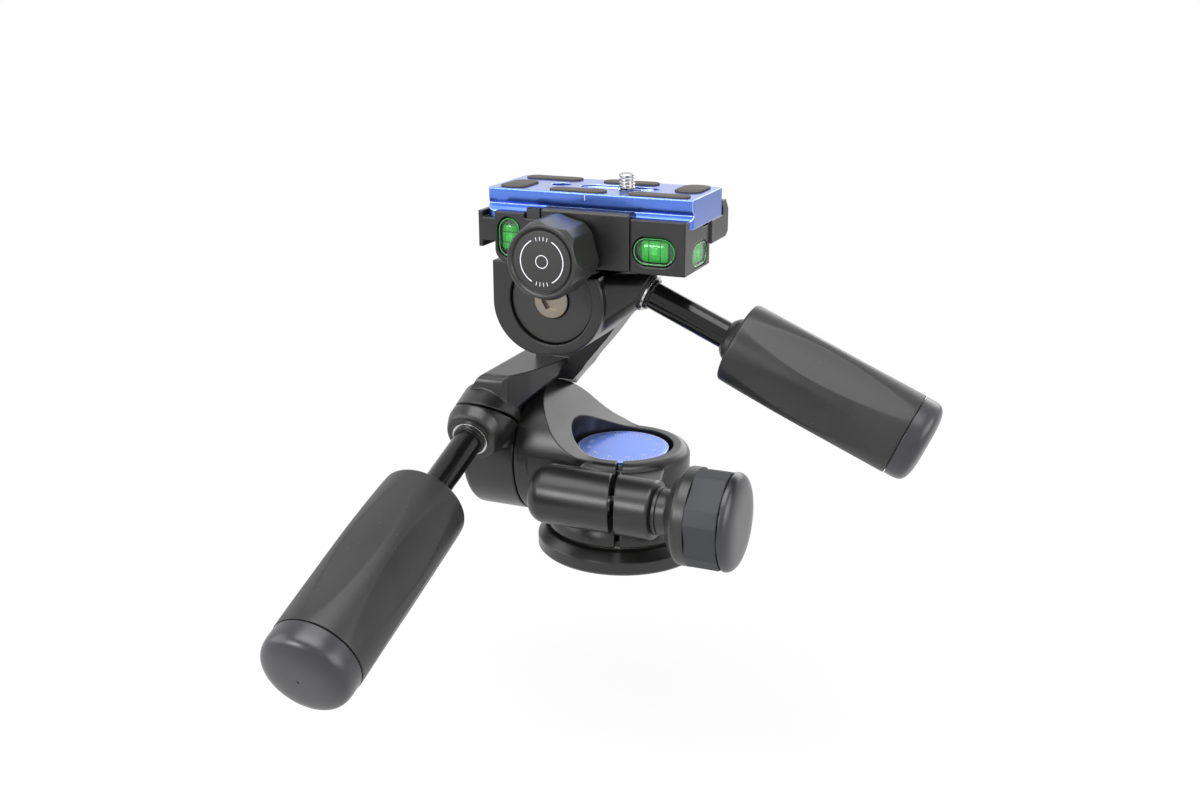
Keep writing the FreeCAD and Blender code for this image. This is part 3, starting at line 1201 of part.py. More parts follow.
# ---------------------------------------------------------------- export
def assembly():
    """Every node by name."""
    tilt, roll = tilt_handle_frame(), roll_handle_frame()
    nodes = {
        "base_foot": base_foot(), "pan_spindle": pan_spindle(),
        "thread_insert": thread_insert(), "spindle_screws": spindle_screws(),
        "pan_lower_washer": pan_lower_washer(), "pan_thrust_washer": pan_thrust_washer(),
        "pan_retainer": pan_retainer(), "retainer_screws": retainer_screws(),
        "pan_dial": pan_dial(),
        "pan_housing": pan_housing(), "pan_bush": pan_bush(), "tilt_axle": tilt_axle(),
        "tilt_end_disc": tilt_end_disc(), "tilt_axle_screw": tilt_axle_screw(),
        "pan_clamp_nut": pan_clamp_nut(),
        "pan_knob_washer": pan_knob_washer(), "pan_clamp_bolt": pan_clamp_bolt(),
        "pan_knob_hub": pan_knob_hub(), "pan_knob_grip": pan_knob_grip(),
        "pan_knob_cap": pan_knob_cap(),
        "tilt_arm": tilt_arm(), "tilt_bush": tilt_bush(),
        "tilt_thrust_washer": tilt_thrust_washer(), "tilt_mouth_washer": mouth_washer(tilt),
        "roll_axle": roll_axle(), "roll_end_disc": roll_end_disc(),
        "roll_axle_screw": roll_axle_screw(),
        "roll_housing": roll_housing(), "roll_bush": roll_bush(),
        "roll_thrust_washer": roll_thrust_washer(), "roll_mouth_washer": mouth_washer(roll),
        "clamp_platform": clamp_platform(), "platform_screws": platform_screws(),
        "jaw_guide_pins": jaw_guide_pins(), "jaw_spring": jaw_spring(),
        "safety_spring": safety_spring(), "safety_button": safety_button(),
        "vial_front": vial("front"), "vial_left": vial("left"), "vial_side": vial("side"),
        "vial_fluids": vial_fluids(),
        "clamp_jaw": clamp_jaw(), "clamp_knob": clamp_knob(),
        "clamp_knob_disc": clamp_knob_disc(), "clamp_screw": clamp_screw(),
        "clamp_knob_washer": clamp_knob_washer(),
        "qr_plate": qr_plate(), "plate_pads": plate_pads(),
        "plate_stop_screws": plate_stop_screws(),
        "screw_clip": screw_clip(), "camera_screw": camera_screw(),
    }
    for side, frame, sizes in (("tilt", tilt, TILT_HANDLE), ("roll", roll, ROLL_HANDLE)):
        nodes[side + "_handle_rod"] = handle_rod(frame, sizes)
        nodes[side + "_handle_ferrule"] = handle_ferrule(frame, sizes)
        nodes[side + "_handle_grip"] = handle_grip(frame, sizes)
        nodes[side + "_handle_cap"] = handle_cap(frame, sizes)
    return nodes


os.makedirs("parts", exist_ok=True)
for name, shape in assembly().items():
    shape.exportStep("parts/" + name + ".step")
    print(name, len(shape.Solids), round(shape.Volume, 1), shape.isValid())
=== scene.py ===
"""Looks of a three way pan tilt head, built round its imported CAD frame.

Lengths are metres in the frame of the part: +Z up along the pan axis, +X along the tilt axis
toward the pan knob, -Y toward the user's side.
"""

import json
import logging
import math
from dataclasses import dataclass
from enum import Enum
from typing import Callable, Sequence

import bmesh
import bpy
import numpy as np
from mathutils import Matrix, Vector

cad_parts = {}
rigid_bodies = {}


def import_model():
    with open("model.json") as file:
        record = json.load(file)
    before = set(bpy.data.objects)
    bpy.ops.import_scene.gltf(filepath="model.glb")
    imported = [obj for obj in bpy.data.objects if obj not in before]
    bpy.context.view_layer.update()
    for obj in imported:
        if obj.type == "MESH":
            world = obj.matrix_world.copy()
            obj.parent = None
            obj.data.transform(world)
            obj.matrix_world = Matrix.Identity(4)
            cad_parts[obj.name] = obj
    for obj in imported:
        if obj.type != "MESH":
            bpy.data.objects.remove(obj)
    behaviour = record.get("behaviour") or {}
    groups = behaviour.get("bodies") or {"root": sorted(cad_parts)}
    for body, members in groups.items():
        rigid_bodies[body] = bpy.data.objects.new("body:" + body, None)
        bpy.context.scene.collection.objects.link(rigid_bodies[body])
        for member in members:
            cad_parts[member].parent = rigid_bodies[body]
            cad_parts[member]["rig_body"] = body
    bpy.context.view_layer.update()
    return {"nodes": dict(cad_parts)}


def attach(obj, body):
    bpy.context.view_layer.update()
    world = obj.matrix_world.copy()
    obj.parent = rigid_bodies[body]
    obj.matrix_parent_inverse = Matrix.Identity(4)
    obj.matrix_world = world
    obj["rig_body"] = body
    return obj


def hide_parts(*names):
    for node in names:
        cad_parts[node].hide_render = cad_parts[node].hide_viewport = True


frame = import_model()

LOG = logging.getLogger("pan_tilt_head")
MM = 0.001
TURN = 2.0 * math.pi
Array = np.ndarray
Colour = tuple[float, float, float]
Point = tuple[float, float, float]


# ------------------------------------------------------------------ shader maths
def wired(operation: str, reflected: bool = False) -> Callable[["Wire", "Wire | float"], "Wire"]:
    """Make an operator of Wire that adds one Math node.

    Args:
        operation: the Math node's operation.
        reflected: whether the other value is the node's first input.

    Returns:
        The operator's method.
    """
    def method(wire: "Wire", other: "Wire | float") -> "Wire":
        """Add the node for the wire and the other value."""
        return wire.maths(operation, *((other, wire) if reflected else (wire, other)))

    return method


class Wire:
    """A shader socket whose operators add Math nodes to its tree."""

    __add__ = wired("ADD")
    __radd__ = wired("ADD", reflected=True)
    __sub__ = wired("SUBTRACT")
    __rsub__ = wired("SUBTRACT", reflected=True)
    __mul__ = wired("MULTIPLY")
    __rmul__ = wired("MULTIPLY", reflected=True)
    __truediv__ = wired("DIVIDE")
    __gt__ = wired("GREATER_THAN")
    __lt__ = wired("LESS_THAN")

    def __init__(self, tree: bpy.types.NodeTree, socket: bpy.types.NodeSocket) -> None:
        """Keep the tree and the output socket."""
        self.tree = tree
        self.socket = socket

    def maths(self, operation: str, *values: "Wire | float", clamp: bool = False) -> "Wire":
        """Add one Math node.

        Args:
            operation: the Math node's operation.
            values: its inputs in order, wires or numbers.
            clamp: whether the result is kept between 0 and 1.

        Returns:
            The node's output.
        """
        node = self.tree.nodes.new("ShaderNodeMath")
        node.operation = operation
        node.use_clamp = clamp
        for slot, value in zip(node.inputs, values):
            if isinstance(value, Wire):
                self.tree.links.new(value.socket, slot)
            else:
                slot.default_value = value
        return Wire(self.tree, node.outputs[0])

    def clamped(self) -> "Wire":
        """Kept between 0 and 1."""
        return self.maths("ADD", self, 0.0, clamp=True)


class Bench:
    """One node material being built."""

    def __init__(self, name: str) -> None:
        """Start an empty material with its output.

        Args:
            name: the material's name.
        """
        self.material = bpy.data.materials.new(name)
        self.material.use_nodes = True
        self.tree = self.material.node_tree
        self.tree.nodes.clear()
        self.end = self.tree.nodes.new("ShaderNodeOutputMaterial")

    def node(self, kind: str, settings: dict | None = None, values: dict | None = None,
             out: int | str = 0) -> Wire:
        """Add any node but a Math node.

        Args:
            kind: the node's type without the leading "ShaderNode".
            settings: properties set first.
            values: input name or index to a number, colour, vector or wire.
            out: which output is handed back.

        Returns:
            The chosen output.
        """
        node = self.tree.nodes.new("ShaderNode" + kind)
        for key, value in (settings or {}).items():
            setattr(node, key, value)
        for key, value in (values or {}).items():
            socket = node.inputs[key]
            if isinstance(value, Wire):
                self.tree.links.new(value.socket, socket)
            elif isinstance(value, tuple) and len(value) == 3 and socket.type == "RGBA":
                socket.default_value = (*value, 1.0)
            else:
                socket.default_value = value
        return Wire(self.tree, node.outputs[out])

    def place(self) -> Wire:
        """Object coordinates, in metres."""
        return self.node("TexCoord", out="Object")

    def noise(self, scale: float, detail: float = 2.0, rough: float = 0.5) -> Wire:
        """Noise over the object; scale is in waves per metre."""
        return self.node("TexNoise", None, {"Vector": self.place(), "Scale": scale,
                                            "Detail": detail, "Roughness": rough})

    def lines(self, scales: tuple[float, float, float]) -> Wire:
        """Noise drawn out into lines, with its waves per metre along X, Y and Z."""
        spread = self.node("Mapping", None, {"Vector": self.place(), "Scale": scales})
        return self.node("TexNoise", None, {"Vector": spread, "Scale": 1.0, "Detail": 2.0})

    def blend(self, share: Wire | float, first: Colour | Wire, second: Colour | Wire) -> Wire:
        """Mix two colours by a share of the second."""
        return self.node("Mix", {"data_type": "RGBA"}, {0: share, 6: first, 7: second}, out=2)

    def bump(self, height: Wire, strength: float, distance: float, normal: Wire) -> Wire:
        """Normal of a height over another normal, at a distance in metres."""
        return self.node("Bump", None, {"Height": height, "Strength": strength,
                                        "Distance": distance, "Normal": normal})

    def edges(self, radius: float) -> Wire:
        """Normal that rounds every sharp edge a little."""
        return self.node("Bevel", {"samples": 6}, {"Radius": radius})

    def finish(self, shader: Wire) -> bpy.types.Material:
        """Join the shader to the output.

        Returns:
            The finished material.
        """
        self.tree.links.new(shader.socket, self.end.inputs["Surface"])
        return self.material


# ------------------------------------------------------------------ finishes
@dataclass(frozen=True)
class Look:
    """A finish: its material's name and its main colour."""

    name: str
    colour: Colour

    def inputs(self, bench: Bench) -> dict:
        """Inputs of the Principled shader by name, with their nodes added to the bench."""
        raise NotImplementedError

    def tinted(self, share: float, lift: float = 0.0) -> Colour:
        """Main colour times a share, plus a lift, at most 1."""
        return tuple(min(1.0, c * share + lift) for c in self.colour)

    def material(self) -> bpy.types.Material:
        """Build the node material."""
        bench = Bench(self.name)
        return bench.finish(bench.node("BsdfPrincipled", None, self.inputs(bench)))


@dataclass(frozen=True)
class SatinPaint(Look):
    """Sprayed satin paint over a casting: fine orange peel, faint mottling, rounded edges."""

    lift: Colour
    roughness: float
    grain: float = 1500.0
    peel: float = 0.16
    peel_height: float = 0.03 * MM
    edge: float = 0.45 * MM

    def inputs(self, bench: Bench) -> dict:
        """Mottled colour and roughness over a peeled normal.

        Args:
            bench: where the nodes are added.

        Returns:
            The inputs by name.
        """
        cloud = bench.noise(60.0, 3.0)
        grain = bench.noise(self.grain)
        return {"Base Color": bench.blend((cloud * 0.7).clamped(), self.colour, self.lift),
                "Roughness": self.roughness + (cloud - 0.5) * 0.10 + (grain - 0.5) * 0.06,
                "Normal": bench.bump(grain, self.peel, self.peel_height, bench.edges(self.edge))}


@dataclass(frozen=True)
class GripRubber(Look):
    """Matte rubber: fine pebble, pale dust specks, cloudy bloom."""

    bloom: Colour
    roughness: float
    pebble: float = 2600.0
    pebble_height: float = 0.05 * MM
    edge: float = 0.35 * MM
    specks: float = 0.5
    speck_radius: float = 0.06
    dust: Colour = (0.30, 0.29, 0.27)

    def inputs(self, bench: Bench) -> dict:
        """Bloomed colour with dust where a sparse noise lets its dots through.

        Args:
            bench: where the nodes are added.

        Returns:
            The inputs by name.
        """
        cloud = bench.noise(45.0, 4.0, 0.6)
        dots = bench.node("TexVoronoi", None, {"Vector": bench.place(), "Scale": 420.0})
        dust = (dots < self.speck_radius) * (bench.noise(230.0, 1.0) > 0.56)
        colour = bench.blend((cloud * 1.3 - 0.2).clamped(), self.colour, self.bloom)
        return {"Base Color": bench.blend(dust * self.specks, colour, self.dust),
                "Roughness": self.roughness + (cloud - 0.5) * 0.14,
                "Normal": bench.bump(bench.noise(self.pebble), 0.22, self.pebble_height,
                                     bench.edges(self.edge)),
                "Specular IOR Level": 0.42}


@dataclass(frozen=True)
class MouldedPlastic(Look):
    """Moulded plastic: soft sheen, faint flow marks, rounded edges."""

    roughness: float = 0.34
    coat: float = 0.0
    specular: float = 0.5
    skin_height: float = 0.02 * MM
    edge: float = 0.5 * MM

    def inputs(self, bench: Bench) -> dict:
        """Flow marks in colour and roughness over a fine normal.

        Args:
            bench: where the nodes are added.

        Returns:
            The inputs by name.
        """
        flow = bench.noise(90.0, 3.0)
        fine = bench.noise(3200.0, 1.0)
        return {"Base Color": bench.blend(flow * 0.5, self.colour, self.tinted(1.35, 0.003)),
                "Roughness": self.roughness + (flow - 0.5) * 0.08 + (fine - 0.5) * 0.04,
                "Normal": bench.bump(fine, 0.06, self.skin_height, bench.edges(self.edge)),
                "Coat Weight": self.coat, "Coat Roughness": 0.08,
                "Specular IOR Level": self.specular}


@dataclass(frozen=True)
class BareMetal(Look):
    """Turned or ground metal: fine lines across one axis, small stains."""

    roughness: float = 0.24
    scales: tuple[float, float, float] = (900.0, 900.0, 9000.0)
    line_height: float = 0.02 * MM
    edge: float = 0.2 * MM

    def inputs(self, bench: Bench) -> dict:
        """Stained colour, and lines in roughness and normal.

        Args:
            bench: where the nodes are added.

        Returns:
            The inputs by name.
        """
        lines = bench.lines(self.scales)
        stain = bench.noise(120.0, 3.0)
        return {"Base Color": bench.blend((stain * 0.5).clamped(), self.colour,
                                          self.tinted(0.82)),
                "Roughness": self.roughness + (lines - 0.5) * 0.16 + (stain - 0.5) * 0.08,
                "Normal": bench.bump(lines, 0.08, self.line_height, bench.edges(self.edge)),
                "Metallic": 1.0}


@dataclass(frozen=True)
class Anodised(Look):
    """Dyed anodised aluminium: fine milled lines along the bar, pale edges that are partly worn
    chamfers and partly a painted highlight.
    """

    bright: Colour
    roughness: float = 0.30
    scales: tuple[float, float, float] = (300.0, 5200.0, 5200.0)
    line_height: float = 0.02 * MM
    edge: float = 0.55 * MM
    # Pale edge colour: worn chamfers, and in part a painted edge highlight.
    worn: Colour = (0.62, 0.76, 1.0)

    def inputs(self, bench: Bench) -> dict:
        """Clouded dye and milled lines, pale at the edges: partly worn chamfers, partly a painted
        highlight.

        An edge is where the bevel normal leaves the true one: 1 less their dot product.

        Args:
            bench: where the nodes are added.

        Returns:
            The inputs by name.
        """
        lines = bench.lines(self.scales)
        cloud = bench.noise(70.0)
        rounded = bench.edges(self.edge)
        facing = bench.node("VectorMath", {"operation": "DOT_PRODUCT"},
                            {0: rounded, 1: bench.node("NewGeometry", out="Normal")}, out="Value")
        # The edge share lightens the dye: partly worn chamfers, partly a painted edge highlight.
        share = ((1.0 - facing) * 22.0 - 0.1).clamped() * 0.75
        dye = bench.blend((cloud * 0.6).clamped(), self.colour, self.bright)
        return {"Base Color": bench.blend(share, dye, self.worn),
                "Roughness": self.roughness + (lines - 0.5) * 0.14,
                "Normal": bench.bump(lines, 0.10, self.line_height, rounded),
                "Metallic": 0.9, "Coat Weight": 0.7, "Coat Roughness": 0.12}


@dataclass(frozen=True)
class ClearAcrylic(Look):
    """Clear, faintly tinted window."""

    roughness: float = 0.03

    def inputs(self, bench: Bench) -> dict:
        """Clouded tint and polish, let through whole.

        Args:
            bench: where the nodes are added.

        Returns:
            The inputs by name.
        """
        fine = bench.noise(900.0, 1.0)
        return {"Base Color": bench.blend(fine * 0.2, self.colour, self.tinted(0.92)),
                "Roughness": self.roughness + (fine - 0.5) * 0.02,
                "Transmission Weight": 1.0, "IOR": 1.49}


@dataclass(frozen=True)
class VialFluid(Look):
    """Bright level fluid that glows with painted light, as if lit from within."""

    glow: float = 0.25

    def inputs(self, bench: Bench) -> dict:
        """Hazy colour that also glows: painted light, since the fluid is no lamp.

        Args:
            bench: where the nodes are added.

        Returns:
            The inputs by name.
        """
        colour = bench.blend(bench.noise(300.0) * 0.5, self.colour, self.tinted(1.3))
        return {"Base Color": colour, "Emission Color": colour, "Emission Strength": self.glow,
                "Roughness": 0.12, "Coat Weight": 0.6}


@dataclass(frozen=True)
class Printed(Look):
    """Print on a surface, a little worn."""

    def inputs(self, bench: Bench) -> dict:
        """Worn colour and roughness.

        Args:
            bench: where the nodes are added.

        Returns:
            The inputs by name.
        """
        worn = bench.noise(800.0)
        return {"Base Color": bench.blend((worn * 0.6).clamped(), self.colour,
                                          self.tinted(0.86)),
                "Roughness": 0.45 + (worn - 0.5) * 0.1}


class Finish(Enum):
    """Every finish on the head; the value is the look and its record slot."""

    CASTING = (SatinPaint("satin_black_casting", (0.0095, 0.0093, 0.0092),
                          (0.0155, 0.0150, 0.0146), roughness=0.31, edge=1.0 * MM), "casting")
    DISC = (SatinPaint("satin_black_disc", (0.016, 0.0158, 0.0155), (0.026, 0.025, 0.024),
                       roughness=0.45, grain=2400.0, peel=0.5), "casting")
    RUBBER = (GripRubber("grip_rubber", (0.012, 0.0118, 0.0125), (0.028, 0.0277, 0.028),
                         roughness=0.40), "rubber")
    KNOB_RUBBER = (GripRubber("knob_rubber", (0.028, 0.029, 0.033), (0.038, 0.039, 0.043),
                              roughness=0.6, specks=0.1), "rubber")
    PAD = (GripRubber("pad_rubber", (0.062, 0.056, 0.052), (0.090, 0.080, 0.074),
                      roughness=0.8, pebble=1800.0, specks=0.1), "pad_rubber")
    CAP = (MouldedPlastic("cap_plastic", (0.018, 0.018, 0.0215), roughness=0.31,
                          specular=0.6), "black_plastic")
    KNOB = (MouldedPlastic("knob_plastic", (0.018, 0.0178, 0.0175)), "black_plastic")
    ROD = (MouldedPlastic("gloss_rod", (0.004, 0.004, 0.004), roughness=0.16, coat=0.10,
                          specular=0.30), "gloss_rod")
    STEEL = (BareMetal("ground_steel", (0.52, 0.51, 0.50)), "steel")
    DARK_STEEL = (BareMetal("oxide_steel", (0.10, 0.10, 0.105), roughness=0.34), "dark_steel")
    BRASS = (BareMetal("plated_screw", (0.25, 0.215, 0.18), roughness=0.34), "brass_screw")
    BRONZE = (BareMetal("bronze_bush", (0.52, 0.34, 0.17), roughness=0.34), "bronze")
    NYLON = (MouldedPlastic("nylon_washer", (0.62, 0.61, 0.57), roughness=0.5), "nylon")
    BLUE = (Anodised("blue_anodised", (0.060, 0.155, 0.60), (0.10, 0.22, 0.72)),
            "blue_anodised")
    DIAL = (Anodised("blue_dial", (0.12, 0.26, 0.88), (0.17, 0.33, 0.96), roughness=0.42),
            "dial_blue")
    WINDOW = (ClearAcrylic("vial_window", (0.50, 0.92, 0.58)), "acrylic")
    # The vial finishes glow: painted light on parts that are no lamp.
    FLUID = (VialFluid("vial_fluid", (0.028, 0.44, 0.055)), "vial_fluid")
    BACKING = (VialFluid("vial_backing", (0.010, 0.085, 0.018), glow=0.10), "vial_fluid")
    # Lighter green that glows, for the bubble and the rim line: a painted highlight.
    BUBBLE = (VialFluid("vial_bubble", (0.065, 0.56, 0.11), glow=0.28), "vial_fluid")
    PRINT = (Printed("white_print", (0.86, 0.88, 0.94)), "dial_blue")


MATERIALS: dict[Finish, bpy.types.Material] = {}


def dressed(obj: bpy.types.Object, finish: Finish) -> bpy.types.Object:
    """Give an object a finish, built once and shared, and report the piece.

    Args:
        obj: the mesh object.
        finish: which finish it wears.

    Returns:
        The same object.
    """
    look, slot = finish.value
    if finish not in MATERIALS:
        MATERIALS[finish] = look.material()
    obj.data.materials.clear()
    obj.data.materials.append(MATERIALS[finish])
    LOG.info("%s in %s", obj.name, look.name)
    return obj


# ------------------------------------------------------------------ mesh maths
@dataclass(frozen=True)
class Axes:
    """A local frame: z runs along the axis, x across it."""

    origin: Point
    along: Point
    across: Point

    def put(self, points: Array) -> Array:
        """Local points (last index x, y, z) moved into the part's frame.

        Each point is origin + x * across + y * (along cross across) + z * along.

        Args:
            points: local places, in rows or grids.

        Returns:
            The places in the part's frame.
        """
        z = np.array(self.along, float)
        z /= np.linalg.norm(z)
        x = np.array(self.across, float)
        x -= z * x.dot(z)
        x /= np.linalg.norm(x)
        basis = np.stack([x, np.cross(z, x), z])
        return np.array(self.origin, float) + points @ basis


def linked(name: str, data: bpy.types.ID) -> bpy.types.Object:
    """New object in the scene that holds the given data.

    Args:
        name: the object's name.
        data: its mesh, lamp, camera or text.

    Returns:
        The new object.
    """
    obj = bpy.data.objects.new(name, data)
    bpy.context.scene.collection.objects.link(obj)
    return obj


def creased(mesh: bpy.types.Mesh, angle: float) -> None:
    """Shade a mesh smooth but for edges sharper than an angle in degrees."""
    mesh.shade_smooth()
    mesh.set_sharp_from_angle(angle=math.radians(angle))


def made(name: str, points: Array, faces: Array | Sequence, smooth: float = 35.0
         ) -> bpy.types.Object:
    """Mesh object from points and faces, welded, with outward normals.

    Args:
        name: the object's name.
        points: n by 3 places.
        faces: corner indices of each face.
        smooth: edges sharper than this angle in degrees stay crisp.

    Returns:
        The new object, linked to the scene.
    """
    mesh = bpy.data.meshes.new(name)
    mesh.from_pydata(np.asarray(points, float).reshape(-1, 3).tolist(), [],
                     [list(map(int, f)) for f in faces])
    shaped = bmesh.new()
    shaped.from_mesh(mesh)
    bmesh.ops.remove_doubles(shaped, verts=shaped.verts, dist=1e-6)
    bmesh.ops.dissolve_degenerate(shaped, edges=shaped.edges, dist=1e-7)
    bmesh.ops.recalc_face_normals(shaped, faces=shaped.faces)
    shaped.to_mesh(mesh)
    shaped.free()
    creased(mesh, smooth)
    return linked(name, mesh)


def lattice(rows: int, columns: int, wrap_rows: bool = False, wrap_columns: bool = True
            ) -> Array:
    """Quads of a rows by columns grid of points.

    Quad (i, j) joins (i, j), (i, j+1), (i+1, j+1) and (i+1, j), with indices taken round
    where a direction is closed.

    Args:
        rows: rows of the grid.
        columns: columns of the grid.
        wrap_rows: whether the last row joins the first.
        wrap_columns: whether the last column joins the first.

    Returns:
        Four corner indices for each quad.
    """
    i = np.arange(rows if wrap_rows else rows - 1)
    j = np.arange(columns if wrap_columns else columns - 1)
    i, j = (a.ravel() for a in np.meshgrid(i, j, indexing="ij"))
    k, m = (i + 1) % rows, (j + 1) % columns
    return np.stack([i * columns + j, i * columns + m, k * columns + m, k * columns + j], 1)


def level(outline: Array, height: float) -> Array:
    """Flat outline, as x and y, lifted to a height."""
    return np.concatenate([outline, np.full((len(outline), 1), height)], 1)


def circle(radius: float, angle: Array) -> Array:
    """Flat points, as x and y, at one radius over the given angles."""
    return np.stack([radius * np.cos(angle), radius * np.sin(angle)], -1)


def stacked(rows: Sequence[Array], first: int = 0) -> list[list[int]]:
    """Faces of a closed solid through rows of points: quads between them and the two ends.

    Args:
        rows: outlines of equal length, in order.
        first: index of the first point.

    Returns:
        The corner indices of each face.
    """
    count, total = len(rows[0]), len(rows) * len(rows[0])
    return [*(lattice(len(rows), count) + first).tolist(),
            list(range(first + count - 1, first - 1, -1)),
            list(range(first + total - count, first + total))]


def bands(spans: Sequence[tuple[Array, Sequence[tuple[float, float]]]]) -> tuple[Array, Array]:
    """Open bands round an axis.

    Args:
        spans: for each band its angles, and the radius and height of its rows.

    Returns:
        The points and the faces.
    """
    points: list[Array] = []
    faces: list[Array] = []
    for angle, rows in spans:
        faces.append(lattice(len(rows), len(angle), wrap_columns=False) + sum(map(len, points)))
        points += [level(circle(radius, angle), height) for radius, height in rows]
    return np.concatenate(points), np.concatenate(faces)


def turned(name: str, profile: Sequence[tuple[float, float]], axes: Axes, sides: int = 96,
           shape: Callable[[Array, Array, Array], Array] | None = None, smooth: float = 35.0,
           closed: bool = False) -> bpy.types.Object:
    """Surface of revolution, with an optional change of radius round it.

    A point at height z and angle a lies at radius shape(z, r, a), or r where none is given.

    Args:
        name: the object's name.
        profile: (height, radius) pairs, in order.
        axes: where the axis stands.
        sides: points round the axis.
        shape: new radius from height, radius and angle.
        smooth: crease angle in degrees.
        closed: whether the profile closes on itself, as a ring's does.

    Returns:
        The new object.
    """
    z, r = np.array(profile, float).T
    angle = np.arange(sides) * TURN / sides
    height = np.repeat(z[:, None], sides, 1)
    radius = np.repeat(r[:, None], sides, 1)
    around = np.repeat(angle[None, :], len(z), 0)
    if shape is not None:
        radius = shape(height, radius, around)
    local = np.stack([radius * np.cos(around), radius * np.sin(around), height], -1)
    return made(name, axes.put(local.reshape(-1, 3)),
                lattice(len(z), sides, wrap_rows=closed), smooth)


def soft_min(first: Array, second: Array, ease: float) -> Array:
    """Smaller of two values with the corner rounded where they cross.

    It is their mean, less the root of half their difference squared plus ease squared.
    """
    return (first + second) / 2 - np.sqrt(((first - second) / 2) ** 2 + ease ** 2)


def off_middle(angle: Array, turn: float, count: int) -> Array:
    """Angle from the nearest of count even middles round the axis, one of them at turn."""
    pitch = TURN / count
    return (angle - turn + pitch / 2) % pitch - pitch / 2


def dished(off: Array, half: float, depth: float) -> Array:
    """Parabola, depth deep at its middle, that ends half an angle off on either side."""
    return depth * np.clip(1 - (off / half) ** 2, 0, 1)


def dome(foot: float, rise: float, reach: float, powers: tuple[float, float], steps: int,
         least: float = 0.0) -> list[tuple[float, float]]:
    """Quarter of a superellipse as (height, radius) pairs, from its foot to its crown.

    Heights are foot + rise times the 2 / powers[0] power of a sine, and radii reach times the
    2 / powers[1] power of its cosine, never under least.

    Args:
        foot: height where it starts.
        rise: height from foot to crown.
        reach: radius at the foot.
        powers: how square it is in height and in radius.
        steps: number of pairs.
        least: smallest radius.

    Returns:
        The pairs in order.
    """
    swing = np.linspace(0.0, 0.5 * math.pi, steps)
    return list(zip(foot + rise * np.sin(swing) ** (2 / powers[0]),
                    np.maximum(reach * np.cos(swing) ** (2 / powers[1]), least)))


def eased(corners: Sequence[tuple[float, ...]], steps: int = 6) -> list[tuple[float, float]]:
    """Open line through corners, where a third value rounds a corner to that radius.

    The round is the circle that touches both sides, cut into equal angles.

    Args:
        corners: (height, radius) or (height, radius, rounding) of each corner.
        steps: parts of each round.

    Returns:
        The line's (height, radius) pairs.
    """
    line: list[tuple[float, float]] = []
    for i, corner in enumerate(corners):
        here = np.array(corner[:2], float)
        if len(corner) < 3 or i in (0, len(corners) - 1):
            line.append(tuple(here))
            continue
        back = np.array(corners[i - 1][:2], float) - here
        ahead = np.array(corners[i + 1][:2], float) - here
        back /= np.linalg.norm(back)
        ahead /= np.linalg.norm(ahead)
        half = math.acos(float(np.clip(back.dot(ahead), -1, 1))) / 2
        reach = corner[2] / math.tan(half)
        centre = here + (back + ahead) / np.linalg.norm(back + ahead) * corner[2] / math.sin(half)
        first, last = here + back * reach - centre, here + ahead * reach - centre
        sweep = math.pi - 2 * half
        for share in np.linspace(0, 1, steps + 1):
            spot = (first * math.sin((1 - share) * sweep) + last * math.sin(share * sweep))
            line.append(tuple(centre + spot / math.sin(sweep)))
    return line


def without(obj: bpy.types.Object, cutter: bpy.types.Object) -> None:
    """Take a closed cutter out of an object's mesh, then drop the cutter.

    Args:
        obj: the closed mesh to trim.
        cutter: the closed mesh taken away.
    """
    trim = obj.modifiers.new("trim", "BOOLEAN")
    trim.operation = "DIFFERENCE"
    trim.solver = "EXACT"
    trim.object = cutter
    bpy.context.view_layer.update()
    graph = bpy.context.evaluated_depsgraph_get()
    mesh = bpy.data.meshes.new_from_object(obj.evaluated_get(graph))
    obj.modifiers.clear()
    mesh.name = obj.data.name
    obj.data = mesh
    bpy.data.objects.remove(cutter)


def skin(node: str, finish: Finish, crease: float = 32.0,
         cutter: bpy.types.Object | None = None) -> bpy.types.Object:
    """Smooth shaded copy of a CAD node that stands in its place.

    The loose triangles are welded by rounding their corners to 0.1 micrometre.

    Args:
        node: the CAD node.
        finish: what it wears.
        crease: edges sharper than this stay crisp, in degrees.
        cutter: what is taken out of the copy, if anything.

    Returns:
        The copy, riding on the node's body.
    """
    source = frame["nodes"][node].data
    count = len(source.vertices)
    place = np.empty(count * 3, np.float32)
    source.vertices.foreach_get("co", place)
    corner = np.empty(len(source.loops), np.int32)
    source.loops.foreach_get("vertex_index", corner)
    spots, index = np.unique(np.round(place.reshape(-1, 3).astype(float), 7), axis=0,
                             return_inverse=True)
    faces = index.ravel()[corner].reshape(-1, 3)
    whole = (faces != np.roll(faces, 1, axis=1)).all(axis=1)
    mesh = bpy.data.meshes.new(node + "_skin")
    mesh.from_pydata(spots.tolist(), [], faces[whole].tolist())
    obj = linked(node + "_skin", mesh)
    if cutter is not None:
        without(obj, cutter)
    creased(obj.data, crease)
    weigh = obj.modifiers.new("even_shading", "WEIGHTED_NORMAL")
    weigh.keep_sharp = True
    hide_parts(node)
    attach(obj, frame["nodes"][node]["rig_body"])
    return dressed(obj, finish)


def seat(obj: bpy.types.Object, body: str, finish: Finish, *nodes: str) -> bpy.types.Object:
    """Dress a new piece, fix it to a body and let it stand for CAD nodes.

    Args:
        obj: the new piece.
        body: the body it rides on.
        finish: what it wears.
        nodes: the CAD nodes it stands for.

    Returns:
        The same piece.
    """
    dressed(obj, finish)
    if nodes:
        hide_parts(*nodes)
    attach(obj, body)
    return obj


